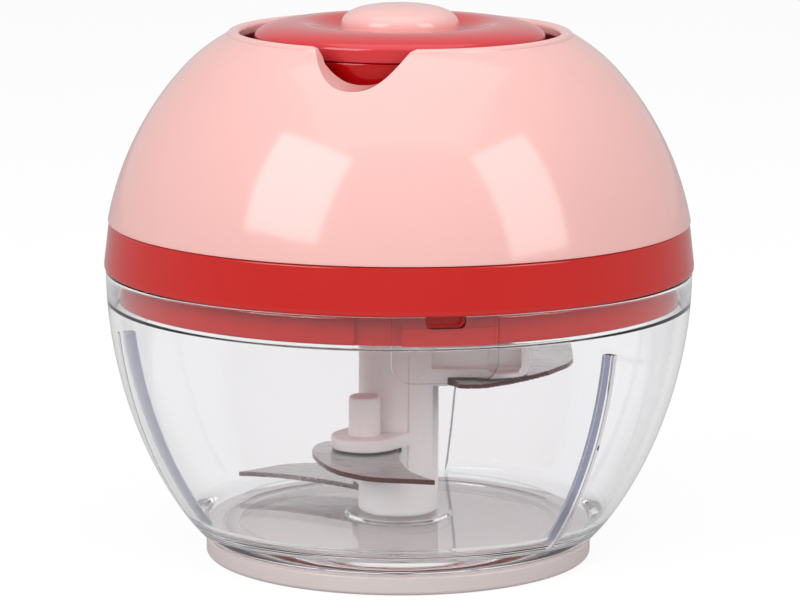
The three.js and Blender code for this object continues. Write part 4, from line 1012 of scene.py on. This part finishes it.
# Everything else keeps its CAD shape and gets its finish
finishes = {
    "pivot_pin": plainSteel, "cord_spool": whiteAcetal, "spring_cover": plainSteel,
    "return_spring": springSteel, "cord_guide": plainSteel, "cord_eyelet": plainSteel,
    "drive_coupler": whiteAcetal, "clutch_plate": blackNylon, "clutch_washer": plainSteel,
    "knot_washer": plainSteel,
}
for name, node in nodes.items():
    material = plainSteel if "screw" in name else finishes.get(name)
    if material:
        node.data.materials.clear()
        node.data.materials.append(material)
print("finishes given")

# Camera at the photograph's viewing angle
camera = {
    "distance": 0.857, "elevation": 9.71, "lens": 189.1, "target": (0, 0, 0.0597), "drop": 0.488, "roll": 0.2,
    "shift": 0.00125,
}


def makeCamera():
    level, rise = polar(1, camera["elevation"])
    back = Vector((0, -level, rise))
    data = bpy.data.cameras.new("camera")
    data.lens = camera["lens"]
    data.shift_x = camera["shift"]
    made = newObject("camera", data)
    made.location = Vector(camera["target"]) + back * camera["distance"]
    tilt = math.radians(90 - camera["elevation"] - camera["drop"])
    roll = Quaternion((0, 0, 1), math.radians(camera["roll"]))
    made.rotation_euler = (Euler((tilt, 0, 0)).to_quaternion() @ roll).to_euler()
    bpy.context.scene.camera = made


makeCamera()

# Two soft boxes beside the camera, one above, a fill in front, and a surround that mirrors as a grey room
studio = {
    "distance": 1.1, "aim": (0, 0, 0.075), "surround": 0.3, "mirrorFront": 0.28, "mirrorBack": 0.62,
    "backdropTurn": (0.25, 0.9), "room": 0.5,
    "left": {"angle": -138, "elevation": 34, "size": (0.62, 0.66), "power": 6.0},
    "right": {"angle": -34, "elevation": 30, "size": (0.5, 0.75), "power": 4.5},
    "top": {"angle": -90, "elevation": 84, "size": (1.2, 1.2), "power": 4.5},
    "fill": {"angle": -98, "elevation": 14, "size": (0.9, 0.9), "power": 1.2, "mirrored": False},
}


def makeLamp(name):
    lamp = studio[name]
    data = bpy.data.lights.new(name, "AREA")
    data.shape = "RECTANGLE"
    data.size, data.size_y = lamp["size"]
    data.energy = lamp["power"]
    made = newObject(name, data)
    level, rise = polar(1, lamp["elevation"])
    away = Vector((*polar(level, lamp["angle"]), rise))
    made.location = Vector(studio["aim"]) + away * studio["distance"]
    made.rotation_euler = away.to_track_quat("Z", "Y").to_euler()
    made.visible_glossy = lamp.get("mirrored", True)


# A value that runs between two others as a place or direction goes along an axis
def rampAlong(tree, vector, axis, places, values):
    along = addNode(tree, "SeparateXYZ", {"Vector": vector}).outputs[axis]
    return mapRange(tree, along, *places, *values, interpolation_type="SMOOTHSTEP")


def makeSurround():
    world = bpy.data.worlds.new("surround")
    bpy.context.scene.world = world
    tree = emptyTree(world)
    ray = addNode(tree, "LightPath").outputs
    way = addNode(tree, "TexCoord").outputs["Generated"]
    mirror = rampAlong(tree, way, "Y", (-1, 1), (studio["mirrorFront"], studio["mirrorBack"]))
    through = rampAlong(tree, way, "Y", studio["backdropTurn"], (studio["room"], 1))
    unseen = choose(tree, ray["Is Glossy Ray"], studio["surround"], mirror)
    unseen = choose(tree, ray["Is Transmission Ray"], unseen, through)
    strength = choose(tree, ray["Is Camera Ray"], unseen, 1)
    shown = addNode(tree, "Background", {"Color": (1, 1, 1, 1), "Strength": strength})
    addNode(tree, "OutputWorld", {"Surface": shown.outputs["Background"]})


floorSize = {"width": 8, "drop": 0.0001, "shadowShare": 0.2, "white": 1.14, "mirrored": 0.5, "tone": 0.55,
             "clearFrom": (-0.12, 0.06), "clearAside": (0.12, 0.32), "room": 0.5}


# White to the camera and dimmer through clear plastic, with a grey share that takes the object's shadow
def makeFloorWhite():
    material = bpy.data.materials.new("floor white")
    tree = emptyTree(material)
    white, room, tone = floorSize["white"], floorSize["room"], floorSize["tone"]
    ray = addNode(tree, "LightPath").outputs
    place = addNode(tree, "NewGeometry").outputs["Position"]
    aside = addNode(tree, "VectorMath", {0: place}, operation="ABSOLUTE").outputs["Vector"]
    behind = rampAlong(tree, place, "Y", floorSize["clearFrom"], (room, white))
    beside = rampAlong(tree, aside, "X", floorSize["clearAside"], (white, room))
    through = combine(tree, "MINIMUM", behind, beside)
    strength = choose(tree, ray["Is Transmission Ray"], floorSize["mirrored"], through)
    strength = choose(tree, ray["Is Camera Ray"], strength, white)
    lit = addNode(tree, "BsdfDiffuse", {"Color": (tone, tone, tone, 1)})
    shown = addNode(tree, "Emission", {"Color": (1, 1, 1, 1), "Strength": strength})
    seen = combine(tree, "MAXIMUM", ray["Is Camera Ray"], ray["Is Transmission Ray"])
    seen = combine(tree, "MAXIMUM", seen, ray["Is Glossy Ray"])
    share = combine(tree, "MULTIPLY", seen, 1 - floorSize["shadowShare"])
    mixed = addNode(tree, "MixShader", {"Fac": share, 1: lit.outputs["BSDF"], 2: shown.outputs["Emission"]})
    addNode(tree, "OutputMaterial", {"Surface": mixed.outputs["Shader"]})
    return material


def makeFloor():
    shape = bmesh.new()
    bmesh.ops.create_grid(shape, x_segments=1, y_segments=1, size=floorSize["width"] / 2)
    bmesh.ops.translate(shape, vec=(0, 0, -floorSize["drop"]), verts=shape.verts)
    floor = meshObject(shape, "floor")
    floor.data.materials.append(makeFloorWhite())


for lampName in ("left", "right", "top", "fill"):
    makeLamp(lampName)
makeSurround()
makeFloor()
bpy.context.scene.view_settings.view_transform = "Standard"
paths = bpy.context.scene.cycles  # light has to pass many clear walls
paths.max_bounces = 28
paths.diffuse_bounces = 6
paths.glossy_bounces = 12
paths.transmission_bounces = 24
paths.transparent_max_bounces = 28
print("studio made")
